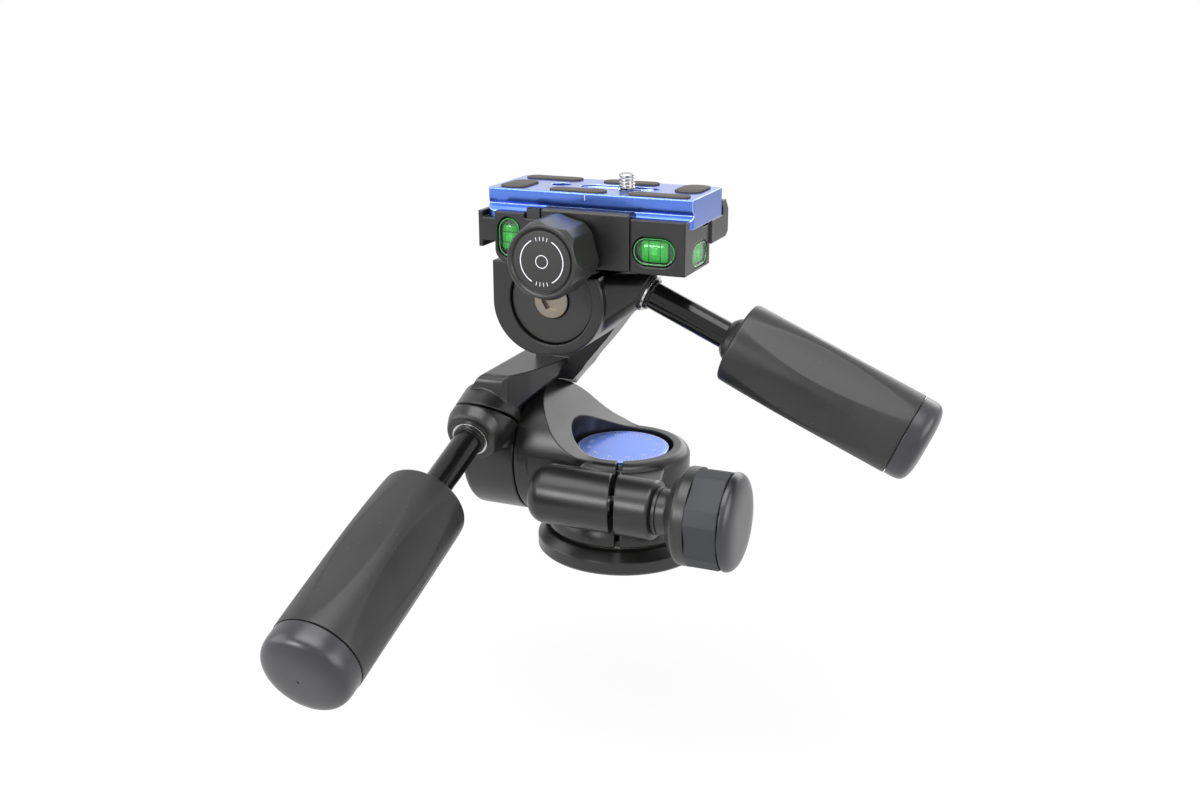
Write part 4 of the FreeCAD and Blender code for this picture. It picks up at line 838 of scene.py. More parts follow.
# ------------------------------------------------------------------ castings
@dataclass
class Castings:
    """The castings, discs, axles, bushes and screws; all but the arm keep their CAD shape."""

    groups: tuple[tuple[Finish, tuple[str, ...]], ...] = (
        (Finish.CASTING, ("base_foot", "pan_housing", "roll_housing", "clamp_platform",
                          "clamp_jaw")),
        (Finish.DISC, ("tilt_end_disc", "roll_end_disc")),
        (Finish.STEEL, ("pan_spindle", "thread_insert", "pan_retainer", "tilt_axle", "roll_axle",
                        "pan_clamp_nut", "pan_clamp_bolt", "jaw_guide_pins", "jaw_spring",
                        "safety_spring", "clamp_screw", "tilt_mouth_washer",
                        "roll_mouth_washer")),
        (Finish.DARK_STEEL, ("spindle_screws", "retainer_screws", "platform_screws",
                             "plate_stop_screws", "screw_clip", "clamp_knob_washer")),
        (Finish.BRONZE, ("pan_bush", "tilt_bush", "roll_bush")),
        (Finish.NYLON, ("pan_lower_washer", "pan_thrust_washer", "tilt_thrust_washer",
                        "roll_thrust_washer")),
        (Finish.BRASS, ("tilt_axle_screw", "roll_axle_screw")))
    heel: tuple[tuple[float, float], ...] = (
        (-18.6, 74.4), (-21.6, 71.0), (-24.9, 67.2), (-28.0, 63.3), (-30.8, 59.0), (-10.0, 59.0),
        (-10.0, 74.4))
    heel_depth: tuple[float, float] = (1.8, 19.0)

    def heel_cutter(self) -> bpy.types.Object:
        """Prism over the sharp heel of the upright: its outline in x and z, run along y."""
        rows = [level(np.array(self.heel), y)[:, [0, 2, 1]] * MM for y in self.heel_depth]
        return made("heel_cutter", np.concatenate(rows), stacked(rows))

    def build(self) -> None:
        """Skin the arm without its heel, then every node of the groups in its finish."""
        skin("tilt_arm", Finish.CASTING, cutter=self.heel_cutter())
        for finish, nodes in self.groups:
            for node in nodes:
                skin(node, finish)
        LOG.info("castings")


# ------------------------------------------------------------------ handles
@dataclass(frozen=True)
class HandleSizes:
    """Sizes of one handle, heights counted from the mouth that holds its rod."""

    rod_radius: float
    shown: float
    grip_radius: float
    grip_length: float
    cap_length: float

    @property
    def end(self) -> float:
        """Height of the seam between grip and cap."""
        return self.shown + self.grip_length


@dataclass
class Handle:
    """A handle: gloss rod, cone ferrule, fluted rubber grip and domed cap."""

    side: str
    axes: Axes
    sizes: HandleSizes
    flute_turn: float
    rod_gap: float = 0.04 * MM
    ferrule_radius: float = 9.2 * MM
    ferrule_length: float = 4.3 * MM
    face_rise: float = 0.25 * MM
    face_rim: float = 3.0 * MM
    inner_share: float = 0.89
    seam_share: float = 0.907
    crown_at: float = 0.45
    crown_ease: float = 0.5 * MM
    flutes: int = 6
    flute_depth: float = 1.9 * MM
    flute_curve: float = 900.0 * MM
    flute_hollow: float = 0.65 * MM
    flute_ease: float = 0.09 * MM
    groove: float = 0.5 * MM
    dot_radius: float = 0.55 * MM
    dot_depth: float = 0.5 * MM

    def barrel(self, height: Array) -> Array:
        """Radius of the grip before its flutes.

        One taper rises from the inner end and one falls to the seam, as straight lines in the
        height; they meet at the crown with the corner of soft_min.

        Args:
            height: heights along the axis.

        Returns:
            The radii there.
        """
        share = (height - self.sizes.shown) / self.sizes.grip_length
        rise = self.inner_share + (1 - self.inner_share) * share / self.crown_at
        fall = 1 - (1 - self.seam_share) * (share - self.crown_at) / (1 - self.crown_at)
        radius = self.sizes.grip_radius
        return soft_min(radius * rise, radius * fall, self.crown_ease)

    def fluted(self, height: Array, radius: Array, angle: Array) -> Array:
        """Radius of the grip with its lens shaped flutes.

        The floor of a flute is a shallow arc along the grip. A flat at that floor leaves the
        radius floor / cos(angle off the flute's middle), and a parabola across it hollows it.

        Args:
            height: heights along the axis.
            radius: radii before the change.
            angle: angles round the axis.

        Returns:
            The radii with the flutes.
        """
        middle = self.sizes.shown + self.sizes.grip_length / 2
        floor = (self.sizes.grip_radius - self.flute_depth + self.flute_curve
                 - np.sqrt(self.flute_curve ** 2 - (height - middle) ** 2))
        off = off_middle(angle, self.flute_turn, self.flutes)
        floor = floor - dished(off, 0.45 * TURN / self.flutes, self.flute_hollow)
        cut = soft_min(radius, floor / np.cos(off), self.flute_ease)
        return np.where(radius > self.sizes.grip_radius * 0.8, cut, radius)

    def build(self) -> None:
        """Build and fix the four pieces."""
        body = self.side + "_handle"
        skin(body + "_rod", Finish.ROD)
        self.ferrule(body)
        self.grip(body)
        self.cap(body)
        LOG.info("handle %s", self.side)

    def ferrule(self, body: str) -> None:
        """Cone that widens from the rod to the grip.

        Args:
            body: the handle's body.
        """
        start, edge = self.sizes.shown, self.ferrule_radius
        low, bore = start - self.ferrule_length, self.sizes.rod_radius + self.rod_gap
        profile = eased([(low, bore), (low, self.sizes.rod_radius + 0.8 * MM, 0.3 * MM),
                         (low + 1.6 * MM, edge - 1.2 * MM, 2.4 * MM),
                         (start - 0.6 * MM, edge, 0.5 * MM), (start, edge), (start, bore)])
        cone = turned(body + "_cone", profile, self.axes, closed=True)
        seat(cone, body, Finish.KNOB, body + "_ferrule")

    def grip(self, body: str) -> None:
        """Barrel shaped grip with a raised face round the ferrule and a crisp seam edge.

        Args:
            body: the handle's body.
        """
        start, end = self.sizes.shown, self.sizes.end
        face, step = start + self.face_rise, self.ferrule_radius + self.face_rim
        heights = start + self.sizes.grip_length * np.linspace(0.035, 0.985, 72)
        rows = list(zip(heights, self.barrel(heights)))
        inner, seam = self.barrel(np.array([face, end]))
        near = eased([(start, self.sizes.rod_radius + self.rod_gap), (start, step, 0.3 * MM),
                      (face, step + 0.8 * MM, 0.3 * MM), (face, inner, 1.5 * MM), rows[0]])
        far = eased([rows[-1], (end, seam, 0.35 * MM), (end, 4.0 * MM)], 4)[1:]
        piece = turned(body + "_fluted_grip", near + rows + far, self.axes, 288, self.fluted, 40.0)
        seat(piece, body, Finish.RUBBER, body + "_grip")

    def cap(self, body: str) -> None:
        """Domed cap with a shadow groove at its foot and a small moulding dot.

        Args:
            body: the handle's body.
        """
        end, length, dot = self.sizes.end, self.sizes.cap_length, self.dot_radius
        reach = self.sizes.grip_radius * self.seam_share - 0.3 * MM
        foot, inner = end + self.groove, reach - 1.3 * MM
        lip = foot - 0.1 * MM
        far = end + length
        profile = [(end, inner), (lip, inner), (lip, reach - 0.15 * MM),
                   *dome(foot, length - self.groove, reach, (5.0, 3.6), 56, dot)[:-1],
                   (far, dot), (far - 0.45 * MM, dot - 0.1 * MM), (far - self.dot_depth, 0.0)]
        piece = turned(body + "_domed_cap", profile, self.axes, 128, smooth=50.0)
        seat(piece, body, Finish.CAP, body + "_cap")


# ------------------------------------------------------------------ pan knob
@dataclass
class PanKnob:
    """Pan clamp knob: hub, faceted rubber band and domed cap."""

    axes: Axes
    radius: float = 19.6 * MM
    step: float = 6.5 * MM
    flange: float = 8.3 * MM
    band_length: float = 13.0 * MM
    band_gap: float = 0.05 * MM
    band_round: float = 0.5 * MM
    cap_length: float = 5.2 * MM
    proud: float = 0.4 * MM
    seat_radius: float = 14.63 * MM
    flats: int = 6
    broad_half: float = math.radians(20.5)
    narrow_half: float = math.radians(9.5)
    turn: float = math.radians(9.7)
    hollow: float = 0.25 * MM
    corner: float = 0.08 * MM

    def faceted(self, height: Array, radius: Array, angle: Array) -> Array:
        """Radius of the band's broad flats and the narrow ones between them.

        A flat whose corners lie on the circle leaves radius * cos(half its angle) / cos(angle
        off its middle); soft_min rounds the corners, and a parabola hollows the broad flats.

        Args:
            height: heights along the axis; not used.
            radius: radii before the change.
            angle: angles round the axis.

        Returns:
            The radii with the flats.
        """
        broad = off_middle(angle, self.turn, self.flats)
        narrow = off_middle(angle, self.turn + TURN / self.flats / 2, self.flats)
        wide = radius * math.cos(self.broad_half) / np.cos(broad)
        thin = radius * math.cos(self.narrow_half) / np.cos(narrow)
        cut = soft_min(wide - dished(broad, self.broad_half, self.hollow), thin, self.corner)
        return np.where(radius > self.radius * 0.9, cut, radius)

    def build(self) -> None:
        """Build and fix the pieces."""
        skin("pan_knob_washer", Finish.KNOB)
        skin("pan_knob_hub", Finish.KNOB)
        start = self.step + self.flange
        end = start + self.band_length
        self.band(start + self.band_gap, end - self.band_gap)
        self.cap(end)
        LOG.info("pan knob")

    def band(self, near: float, far: float) -> None:
        """Rubber band between two heights.

        Args:
            near: height of its inner face.
            far: height of its outer face.
        """
        outer = self.radius + self.proud
        profile = eased([(near, self.seat_radius), (near, outer, self.band_round),
                         (far, outer, self.band_round), (far, self.seat_radius)], 5)
        band = turned("pan_knob_faceted_band", profile, self.axes, 288, self.faceted, 30.0)
        seat(band, "pan_knob", Finish.KNOB_RUBBER, "pan_knob_grip")

    def cap(self, end: float) -> None:
        """Cap whose dome stands on a narrow groove.

        Args:
            end: height of the knob's end under the cap.
        """
        foot, edge = end + 0.5 * MM, self.radius - 0.4 * MM
        groove, lip = edge - 0.8 * MM, foot - 0.05 * MM
        profile = [(end, 14.0 * MM), (end, groove), (lip, groove), (lip, edge - 0.1 * MM),
                   *dome(foot, self.cap_length - 0.5 * MM, edge, (2.3, 4.6), 48)]
        cap = turned("pan_knob_domed_cap", profile, self.axes, 128, smooth=50.0)
        seat(cap, "pan_knob", Finish.CAP, "pan_knob_cap")


# ------------------------------------------------------------------ quick release knob
@dataclass
class QuickReleaseKnob:
    """Quick release knob: broad and narrow flats, dished face, plain printed ring."""

    axes: Axes
    radius: float = 15.0 * MM
    start: float = 1.7 * MM
    length: float = 20.7 * MM
    bore: float = 3.03 * MM
    dish: float = 1.1 * MM
    disc: float = 0.5 * MM
    turn: float = math.radians(15.0)
    flats: int = 6
    broad: tuple[float, float] = (1.10 * MM, 0.18 * MM)
    narrow: tuple[float, float] = (0.14 * MM, 0.0)
    broad_half: float = math.radians(22.0)
    corner: float = 0.06 * MM
    print_rise: float = 0.03 * MM

    def flattened(self, height: Array, radius: Array, angle: Array) -> Array:
        """Radius after the broad and the narrow flats are taken off.

        A flat at distance d from the axis leaves radius d / cos(angle off its middle); the
        broad ones are hollowed by a parabola, and soft_min rounds where they meet.

        Args:
            height: heights along the axis; not used.
            radius: radii before the change.
            angle: angles round the axis.

        Returns:
            The radii with the flats.
        """
        left = radius
        for turn, (depth, hollow) in ((0.0, self.broad), (TURN / self.flats / 2, self.narrow)):
            off = off_middle(angle, self.turn + turn, self.flats)
            reach = self.radius - depth - dished(off, self.broad_half, hollow)
            left = soft_min(left, reach / np.cos(off), self.corner)
        return np.where(radius > self.radius * 0.9, left, radius)

    def build(self) -> None:
        """Build and fix the pieces."""
        r, a, b = self.radius, self.start, self.start + self.length
        rows = [(h, r) for h in np.linspace(a + 1.7 * MM, b - 3.3 * MM, 24)]
        chamfer = zip(np.linspace(b - 3.2 * MM, b - 0.5 * MM, 12), np.linspace(r, r - 1.1 * MM, 12))
        back = eased([(a, self.bore), (a, r - 2.0 * MM, 0.6 * MM), (a + 1.2 * MM, r, 0.8 * MM),
                      rows[0]], 5)
        floor = b - self.dish
        front = eased([(b - 0.4 * MM, r - 1.15 * MM), (b, r - 1.55 * MM, 0.3 * MM),
                       (b, r - 2.4 * MM, 0.4 * MM), (floor, r - 3.2 * MM, 0.3 * MM),
                       (floor, 0.0)], 5)
        body = turned("clamp_knob_body", [*back, *rows, *chamfer, *front], self.axes, 288,
                      self.flattened, 28.0)
        seat(body, "clamp_knob_turns", Finish.KNOB, "clamp_knob")
        face, rim = floor + self.disc, r - 3.5 * MM
        profile = eased([(floor, rim), (face, rim, 0.3 * MM), (face, 0.0)], 4)
        disc = turned("clamp_knob_face", profile, self.axes, 96)
        seat(disc, "clamp_knob_turns", Finish.DISC, "clamp_knob_disc")
        self.ring(face)
        LOG.info("quick release knob")

    def ring(self, face: float) -> None:
        """Plain printed ring in two arcs, small ticks between them and a circle in the middle.

        Each mark is a span of degrees and its two radii in millimetres.

        Args:
            face: height of the face it is printed on.
        """
        marks = [(side - 62.0, side + 62.0, 8.35, 8.75) for side in (0.0, 180.0)]
        marks += [(tick - 0.9, tick + 0.9, 7.75, 9.2) for side in (90.0, 270.0)
                  for tick in (side - 15.0, side - 5.0, side + 5.0, side + 15.0)]
        marks += [(0.0, 360.0, 2.2, 2.5)]
        top = face + self.print_rise
        spans = []
        for low, high, inner, outer in marks:
            angle = np.radians(np.linspace(low, high, max(3, int((high - low) / 3))))
            spans.append((angle, [(inner * MM, face), (inner * MM, top), (outer * MM, top),
                                  (outer * MM, face)]))
        points, faces = bands(spans)
        seat(made("clamp_knob_ring", self.axes.put(points), faces), "clamp_knob_turns",
             Finish.PRINT)


# ------------------------------------------------------------------ dial
@dataclass
class Dial:
    """Degree dial: blue disc, printed circle, ticks and numbers."""

    top: float = 43.3 * MM
    circle: float = 17.9 * MM
    line: float = 0.28 * MM
    ticks: int = 72
    tick_half: float = 0.09 * MM
    tick_gap: float = 0.4 * MM
    tick_lengths: tuple[float, float] = (1.9 * MM, 1.1 * MM)
    numbers: int = 12
    number_size: float = 2.1 * MM
    number_reach: float = 13.9 * MM
    print_rise: float = 0.02 * MM
    number_rise: float = 0.012 * MM

    def build(self) -> None:
        """Dress the disc and print its scale."""
        skin("pan_dial", Finish.DIAL)
        top = self.top + self.print_rise
        spans = [(np.linspace(0, TURN, 145), [(self.circle, top), (self.circle + self.line, top)])]
        half, outer = self.tick_half / self.circle, self.circle - self.tick_gap
        for i in range(self.ticks):
            middle = i * TURN / self.ticks
            length = self.tick_lengths[0 if i % 6 == 0 else 1]
            spans.append((np.array([middle - half, middle + half]),
                          [(outer - length, top), (outer, top)]))
        seat(made("dial_scale", *bands(spans)), "base", Finish.PRINT)
        self.print_numbers()
        LOG.info("dial")

    def print_numbers(self) -> None:
        """Plain numbers round the dial, every thirty degrees."""
        joined = bmesh.new()
        for i in range(self.numbers):
            curve = bpy.data.curves.new(f"dial_number_{i}", "FONT")
            curve.body = str(i * 360 // self.numbers)
            curve.size = self.number_size
            curve.align_x = "CENTER"
            curve.align_y = "CENTER"
            curve.extrude = self.number_rise
            curve.resolution_u = 3
            text = linked(curve.name, curve)
            bpy.context.view_layer.update()
            mesh = bpy.data.meshes.new_from_object(text)
            bpy.data.objects.remove(text)
            angle, reach = -i * TURN / self.numbers, self.number_reach
            mesh.transform(Matrix.Rotation(angle - math.pi / 2, 4, "Z"))
            mesh.transform(Matrix.Translation((reach * math.cos(angle), reach * math.sin(angle),
                                               self.top + self.number_rise)))
            joined.from_mesh(mesh)
        mesh = bpy.data.meshes.new("dial_numbers")
        joined.to_mesh(mesh)
        joined.free()
        seat(linked("dial_numbers", mesh), "base", Finish.PRINT)


# ------------------------------------------------------------------ vials
class Facing(Enum):
    """Which way a vial's window faces: the way out of it and the way across it."""

    FRONT = ((0, -1, 0), (1, 0, 0))
    RIGHT = ((1, 0, 0), (0, 1, 0))


@dataclass
class Vial:
    """Spirit level: window, fluid tube, bubble and two ring marks."""

    name: str
    facing: Facing
    centre: Point
    width: float
    height: float
    depth: float = 3.6 * MM
    rim: tuple[tuple[float, float], ...] = ((-0.25, -0.1), (-0.02, -0.35), (0.0, -0.9),
                                            (-0.25, -1.2), (-0.30, -2.0))
    # Thin glowing line just inside the rim: a painted highlight.
    rim_highlight_radius: float = 0.09 * MM
    rim_highlight_inset: float = 0.8 * MM
    backing_inset: float = 1.3 * MM
    backing_drop: float = 3.0 * MM
    tube_inset: float = 1.6 * MM
    tube_reach: float = 0.78
    bubble_reach: float = 0.24
    bubble_lift: float = 0.72 * MM
    mark_at: float = 0.32
    mark_reach: float = 0.028

    def put(self, name: str, rows: Sequence[Array], faces: Array | Sequence) -> bpy.types.Object:
        """Make a piece from rows of local points: z out of the window, x across it."""
        axes = Axes(self.centre, *self.facing.value)
        return made(f"{self.name}_{name}", axes.put(np.concatenate(rows)), faces)

    def pill(self, grow: float) -> Array:
        """Outline of the pill: two half circles and the straights between, as x and y.

        Args:
            grow: how far it lies outside the vial's own outline.

        Returns:
            The outline's points.
        """
        w, h = self.width / 2 + grow, self.height / 2 + grow
        r = min(w, h)
        flat = circle(r, np.linspace(0, TURN, 96, endpoint=False) + math.pi / 4)
        return flat + np.sign(flat) * np.array([w - r, h - r])

    def window(self) -> bpy.types.Object:
        """Clear block with a softly raised rim round a flat window.

        Returns:
            The new object.
        """
        back = level(self.pill(self.rim[0][1] * MM), -self.depth)
        rows = [back, *(level(self.pill(grow * MM), height * MM) for height, grow in self.rim)]
        return self.put("window", rows, stacked(rows))

    def rim_highlight(self) -> bpy.types.Object:
        """Thin round line that follows the pill just inside its rim: a painted highlight of the
        rim.

        Its eight rows lie at the line's radius times the cosine and sine of their angle.

        Returns:
            The new object.
        """
        rows = [level(self.pill(a - self.rim_highlight_inset), b)
                for a, b in circle(self.rim_highlight_radius, np.arange(8) * TURN / 8)]
        return self.put("rim_highlight", rows, lattice(8, len(rows[0]), wrap_rows=True))

    def backing(self) -> bpy.types.Object:
        """Tinted plate behind the fluid, with a faint painted glow."""
        outline = level(self.pill(-self.backing_inset), -self.backing_drop)
        return self.put("backing", [outline], [list(range(len(outline)))])

    def tube(self, name: str, middle: float, reach: float, radius: tuple[float, float],
             bulge: float, lift: float = 0.0) -> bpy.types.Object:
        """Oval tube along the longer side.

        Its outline is an ellipse that shrinks toward both ends: its size is 1 - |s| to the
        power 6, raised to bulge, with s from -1 to 1 over the length.

        Args:
            name: the piece's name after the vial's.
            middle: share of half the vial's length where the tube's middle lies.
            reach: share that the tube extends to either side of it.
            radius: half its width and half its height.
            bulge: power that shapes the ends; a low one leaves them blunt.
            lift: how far it stands above the vial's middle depth.

        Returns:
            The new object.
        """
        wide = self.width > self.height
        long = (self.width if wide else self.height) / 2 - self.tube_inset
        s = np.linspace(middle - reach, middle + reach, 25)
        size = (1 - np.abs(np.linspace(-1, 1, 25)) ** 6) ** bulge + 1e-5
        angle = np.arange(32) * TURN / 32
        along = np.repeat((s * long)[:, None], 32, 1)
        across = radius[0] * size[:, None] * np.cos(angle)[None]
        out = radius[1] * size[:, None] * np.sin(angle)[None] - self.depth / 2 + lift
        parts = (along, across, out) if wide else (across, along, out)
        return self.put(name, np.stack(parts, -1), lattice(25, 32))

    def build(self) -> None:
        """Build and fix the window, fluid, bubble, marks and the painted rim highlight."""
        short = min(self.width, self.height) / 2 - 1.5 * MM
        seat(self.window(), "roll", Finish.WINDOW, self.name)
        # The rim line wears the glowing bubble finish: a painted highlight.
        seat(self.rim_highlight(), "roll", Finish.BUBBLE)
        seat(self.backing(), "roll", Finish.BACKING)
        seat(self.tube("tube", 0.0, self.tube_reach, (short, 1.15 * MM), 0.18), "roll",
             Finish.FLUID)
        # The bubble glows in a lighter green: a painted highlight.
        seat(self.tube("bubble", 0.0, self.bubble_reach, (short * 0.55, 0.45 * MM), 0.5,
                       self.bubble_lift), "roll", Finish.BUBBLE)
        for i, middle in enumerate((-self.mark_at, self.mark_at)):
            seat(self.tube(f"mark_{i}", middle, self.mark_reach, (short + 0.06 * MM, 1.21 * MM),
                           0.05), "roll", Finish.DARK_STEEL)


# ------------------------------------------------------------------ camera plate
@dataclass
class CameraPlate:
    """Blue plate, serrated pads, index tick and threaded camera screw."""

    middle_y: float = -9.5 * MM
    top: float = 152.0 * MM
    front_half: float = 17.27 * MM
    screw_x: float = 5.0 * MM
    screw_radius: float = 3.175 * MM
    screw_stand: float = 5.9 * MM
    screw_pitch: float = 1.27 * MM
    groove_depth: float = 0.62 * MM
    neck_radius: float = 2.6 * MM
    head_radius: float = 6.4 * MM
    head_top: float = 5.9 * MM
    head_low: float = 8.9 * MM
    coin_slot: tuple[float, float] = (1.6 * MM, 1.4 * MM)
    pads: tuple[tuple[float, float, float, float], ...] = (
        (-37.5, -6.5, 11.0, 19.0), (29.5, 6.5, 11.0, 19.0), (-10.0, -12.6, 23.0, 7.6),
        (23.0, -12.6, 24.0, 7.6), (-31.0, 12.6, 24.0, 7.6), (2.0, 12.6, 23.0, 7.6))
    pad_corner: float = 0.92
    tooth_pitch: float = 1.1
    tooth_depth: float = 0.42
    pad_rows: tuple[tuple[float, float], ...] = ((0.0, 0.0), (0.0, 0.45), (0.25, 0.6))
    tick_x: float = -5.4 * MM
    tick_half: float = 0.13 * MM
    tick_drop: tuple[float, float] = (2.7 * MM, 0.5 * MM)

    def pad(self, index: int) -> bpy.types.Object:
        """One rubber pad with fine teeth round its edge.

        The outline is a rounded rectangle whose distance out follows a triangle wave of the
        length run; the top is a smaller copy, so the side leans in. Its sizes are millimetres.

        Args:
            index: which pad.

        Returns:
            The new object.
        """
        cx, cy, length, width = self.pads[index]
        r = min(length, width) / 2 * self.pad_corner
        round_part = circle(1.0, np.linspace(0, TURN, 360, endpoint=False))
        straight = np.array([length / 2 - r, width / 2 - r]) * np.sign(round_part)
        base = straight * (np.abs(round_part) > 0.02) + r * round_part
        closed = np.concatenate([base, base[:1]])
        steps = np.linalg.norm(np.diff(closed, axis=0), axis=1)
        run = np.concatenate([[0], np.cumsum(steps)])
        even = np.linspace(0, run[-1], round(run[-1] / self.tooth_pitch) * 2, endpoint=False)
        ring = np.stack([np.interp(even, run, side) for side in closed.T], -1)
        out = ring / np.linalg.norm(ring, axis=1)[:, None]
        wave = np.where(np.arange(len(even)) % 2 == 0, 0.0, -self.tooth_depth)[:, None]
        rows = [level(ring + out * (wave - inset), height) for inset, height in self.pad_rows]
        points = np.concatenate(rows) + np.array([cx, cy, 0.0])
        return made(f"plate_pad_{index}", points * MM + np.array([0.0, self.middle_y, self.top]),
                    stacked(rows))

    def screw(self) -> bpy.types.Object:
        """Neck and threaded shank: a triangle groove wound along the shank by its pitch.

        Radius is the outside radius less a groove depth times the distance of
        (height / pitch - angle / turn) from the nearest crest.

        Returns:
            The new object.
        """
        low, high = self.top + 0.1 * MM, self.top + self.screw_stand
        heights = np.linspace(low + 0.25 * MM, high - 0.45 * MM, 110)
        axes = Axes((self.screw_x, self.middle_y, 0.0), (0, 0, 1), (1, 0, 0))

        def wound(height: Array, radius: Array, angle: Array) -> Array:
            """Radius left by the groove at a height and angle, shallower near the tip.

            Args:
                height: heights along the axis.
                radius: radii before the change.
                angle: angles round the axis.

            Returns:
                The radii with the groove.
            """
            phase = (height / self.screw_pitch - angle / TURN) % 1.0
            groove = np.clip(1.15 * (1 - 2 * np.abs(phase - 0.5)) - 0.1, 0, 1)
            fade = np.clip((high - 0.3 * MM - height) / (0.8 * MM), 0.25, 1)
            cut = radius - self.groove_depth * groove * fade
            return np.where(radius > self.screw_radius * 0.95, cut, radius)

        neck = self.top - self.head_top
        profile = [(neck, 0.0), (neck, self.neck_radius), (low, self.neck_radius),
                   *((h, self.screw_radius) for h in heights),
                   (high - 0.15 * MM, self.screw_radius * 0.86),
                   (high, self.screw_radius * 0.74), (high, 0.0)]
        return turned("camera_screw_thread", profile, axes, 64, wound, 60.0)

    def head(self) -> bpy.types.Object:
        """Screw head with its coin slot.

        The head is a whole disc over two half discs, each an arc whose ends the slot cuts at
        the angle whose sine is half the slot's width over the radius.

        Returns:
            The new object.
        """
        width, depth = self.coin_slot
        roof, floor = self.top - self.head_top, self.top - self.head_low
        cut = math.asin(width / 2 / self.head_radius)
        spans = [(0.0, TURN * 71 / 72, floor + depth, roof),
                 (cut, math.pi - cut, floor, floor + depth),
                 (math.pi + cut, TURN - cut, floor, floor + depth)]
        points: list[Array] = []
        faces: list[list[int]] = []
        for begin, stop, low, high in spans:
            flat = circle(self.head_radius, np.linspace(begin, stop, 72))
            flat = flat + np.array([self.screw_x, self.middle_y])
            rows = [level(flat, low), level(flat, high)]
            faces += stacked(rows, sum(map(len, points)))
            points += rows
        return made("camera_screw_head", np.concatenate(points), faces)

    def build(self) -> None:
        """Build and fix the pieces."""
        skin("qr_plate", Finish.BLUE)
        for index in range(len(self.pads)):
            piece = self.pad(index)
            seat(piece, "plate", Finish.PAD, *(("plate_pads",) if index == 0 else ()))
        seat(self.head(), "screw", Finish.STEEL)
        seat(self.screw(), "screw", Finish.STEEL, "camera_screw")
        self.tick()
        LOG.info("camera plate")

    def tick(self) -> None:
        """Index tick engraved and filled on the plate's front face."""
        low, high = (self.top - drop for drop in self.tick_drop)
        left, right = self.tick_x - self.tick_half, self.tick_x + self.tick_half
        y = self.middle_y - self.front_half
        points = [(left, y, low), (right, y, low), (right, y, high), (left, y, high)]
        seat(made("plate_tick", points, [[0, 1, 2, 3]]), "plate", Finish.PRINT)


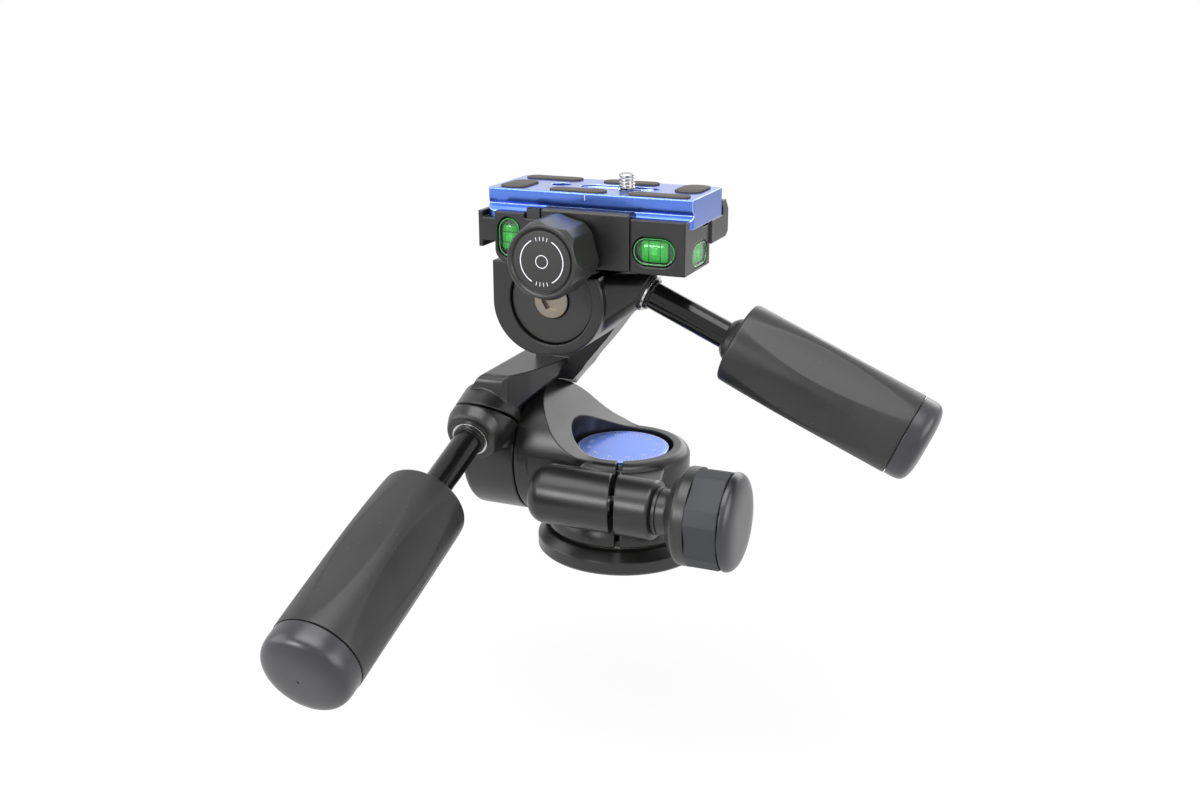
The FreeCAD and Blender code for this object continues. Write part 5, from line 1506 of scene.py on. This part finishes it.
# ------------------------------------------------------------------ studio
@dataclass
class Studio:
    """Camera, soft lights, pale floor and backdrop."""

    azimuth: float = 22.6
    height_angle: float = 17.5
    place: Point = (0.2002, -0.5055, 0.2346)
    lens: float = 41.55
    aim: Point = (0.0, -0.02, 0.08)
    lamps: tuple[tuple[str, Point, float, float], ...] = (
        ("left_wall", (-1.0, -0.45, 0.45), 0.9, 3.6),
        ("front_wall", (-0.50, -1.08, 0.52), 0.50, 6.0),
        ("right_wall", (1.05, -0.15, 0.40), 0.9, 5.6),
        ("overhead", (0.02, -0.26, 1.05), 1.0, 10.0),
        ("back_wall", (0.15, 1.1, 0.45), 0.9, 4.0))
    sky: float = 0.30
    floor_level: float = -0.072
    floor_radius: float = 3.0
    floor_white: tuple[float, float] = (0.90, 1.0)
    floor_glint: float = 0.35
    shadow_reach: float = 0.45

    def camera(self) -> None:
        """Camera whose back axis is (sin a cos e, -cos a cos e, sin e)."""
        a, e = math.radians(self.azimuth), math.radians(self.height_angle)
        back = Vector((math.sin(a) * math.cos(e), -math.cos(a) * math.cos(e), math.sin(e)))
        right = Vector((math.cos(a), math.sin(a), 0.0))
        matrix = Matrix((right, back.cross(right), back)).transposed().to_4x4()
        matrix.translation = Vector(self.place)
        data = bpy.data.cameras.new("view")
        data.lens = self.lens
        data.sensor_width = 36.0
        data.sensor_fit = "HORIZONTAL"
        data.clip_start = 0.01
        data.clip_end = 20.0
        camera = linked("view", data)
        camera.matrix_world = matrix
        bpy.context.scene.camera = camera

    def lamp(self, name: str, place: Point, size: float, power: float) -> None:
        """Soft lamp of a width in metres and a power in watts, aimed at the head.

        Args:
            name: the lamp's name.
            place: where it stands.
            size: its width.
            power: its power.
        """
        data = bpy.data.lights.new(name, "AREA")
        data.shape = "RECTANGLE"
        data.size = size
        data.size_y = size * 0.7
        data.energy = power
        lamp = linked(name, data)
        turn = (Vector(place) - Vector(self.aim)).to_track_quat("Z", "Y")
        lamp.matrix_world = Matrix.Translation(Vector(place)) @ turn.to_matrix().to_4x4()

    def white(self) -> None:
        """World: pale grey light, pure white where the camera, a mirror or a window sees it."""
        world = bpy.data.worlds.new("studio")
        bpy.context.scene.world = world
        world.use_nodes = True
        tree = world.node_tree
        tree.nodes.clear()
        path = tree.nodes.new("ShaderNodeLightPath")
        seen = (Wire(tree, path.outputs["Is Camera Ray"])
                + Wire(tree, path.outputs["Is Glossy Ray"])
                + Wire(tree, path.outputs["Is Transmission Ray"])).clamped()
        strength = seen * (1.0 - self.sky) + self.sky
        sky = tree.nodes.new("ShaderNodeBackground")
        sky.inputs["Color"].default_value = (1.0, 1.0, 1.0, 1.0)
        tree.links.new(strength.socket, sky.inputs["Strength"])
        end = tree.nodes.new("ShaderNodeOutputWorld")
        tree.links.new(sky.outputs[0], end.inputs["Surface"])

    def floor(self) -> None:
        """Round pale floor that shows almost white and keeps a faint shadow."""
        bench = Bench("studio_floor")
        pale = bench.blend(bench.noise(8.0) * 0.3, (0.86, 0.86, 0.86), (0.82, 0.82, 0.82))
        matte = bench.node("BsdfPrincipled", None, {
            "Base Color": pale, "Roughness": 0.9, "Specular IOR Level": 0.1})
        plain = bench.node("Emission", None, {"Color": (1.0, 1.0, 1.0), "Strength": 1.0})
        seen = (bench.node("LightPath", out="Is Camera Ray")
                + bench.node("LightPath", out="Is Glossy Ray") * self.floor_glint
                + bench.node("LightPath", out="Is Transmission Ray")).clamped()
        away = bench.node("VectorMath", {"operation": "LENGTH"}, {0: bench.place()}, out="Value")
        near, far = self.floor_white
        white = near + (far - near) * (away / self.shadow_reach).clamped()
        both = bench.node("MixShader", None, {0: seen * white, 1: matte, 2: plain})
        disc = level(circle(self.floor_radius, np.linspace(0, TURN, 96, endpoint=False)),
                     self.floor_level)
        mesh = bpy.data.meshes.new("floor")
        mesh.from_pydata(disc.tolist(), [], [list(range(len(disc)))])
        mesh.materials.append(bench.finish(both))
        linked("floor", mesh)

    def build(self) -> None:
        """Set the whole studio."""
        bpy.context.scene.view_settings.view_transform = "Standard"
        self.camera()
        self.white()
        self.floor()
        for name, place, size, power in self.lamps:
            self.lamp(name, place, size, power)
        LOG.info("studio")


# ------------------------------------------------------------------ the head
@dataclass
class Head:
    """The whole pan tilt head."""

    tilt_mouth: Point = (-48.0 * MM, -43.4 * MM, 54.2 * MM)
    tilt_droop: float = math.radians(20.1)
    tilt_flutes: float = math.radians(28.0)
    roll_mouth: Point = (15.8 * MM, -13.0 * MM, 112.7 * MM)
    roll_droop: float = math.radians(23.7)
    roll_flutes: float = math.radians(13.0)
    pan_knob_seat: Point = (31.05 * MM, -37.0 * MM, 32.65 * MM)
    release_seat: Point = (-10.5 * MM, -33.05 * MM, 130.7 * MM)
    vial_front_y: float = -32.75 * MM

    def parts(self) -> list:
        """Sub-assemblies with their places and sizes, in building order.

        Returns:
            The sub-assemblies.
        """
        front = self.vial_front_y
        tilt = Axes(self.tilt_mouth, (0, -math.cos(self.tilt_droop), -math.sin(self.tilt_droop)),
                    (1, 0, 0))
        roll = Axes(self.roll_mouth, (math.cos(self.roll_droop), 0, -math.sin(self.roll_droop)),
                    (0, 1, 0))
        return [
            Castings(),
            Handle("tilt", tilt, HandleSizes(5.8 * MM, 40.6 * MM, 19.4 * MM, 80.0 * MM, 12.0 * MM),
                   self.tilt_flutes),
            Handle("roll", roll, HandleSizes(5.5 * MM, 39.3 * MM, 18.1 * MM, 71.9 * MM, 9.4 * MM),
                   self.roll_flutes),
            PanKnob(Axes(self.pan_knob_seat, (1, 0, 0), (0, 1, 0))),
            QuickReleaseKnob(Axes(self.release_seat, (0, -1, 0), (1, 0, 0))),
            Dial(),
            Vial("vial_front", Facing.FRONT, (24.95 * MM, front, 132.9 * MM), 17.4 * MM, 11.2 * MM),
            Vial("vial_left", Facing.FRONT, (-34.4 * MM, front, 134.1 * MM), 9.6 * MM, 16.0 * MM),
            Vial("vial_side", Facing.RIGHT, (36.95 * MM, -15.6 * MM, 129.9 * MM), 17.4 * MM,
                 9.6 * MM),
            CameraPlate()]

    def build(self) -> None:
        """Build every sub-assembly in order, then the ribbed safety button."""
        for part in self.parts():
            part.build()
        skin("safety_button", Finish.KNOB, crease=25.0)


def main() -> None:
    """Build the head and the studio."""
    logging.basicConfig(level=logging.INFO, format="%(name)s: %(message)s")
    Head().build()
    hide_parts("vial_fluids")
    Studio().build()


if __name__ == "__main__":
    main()
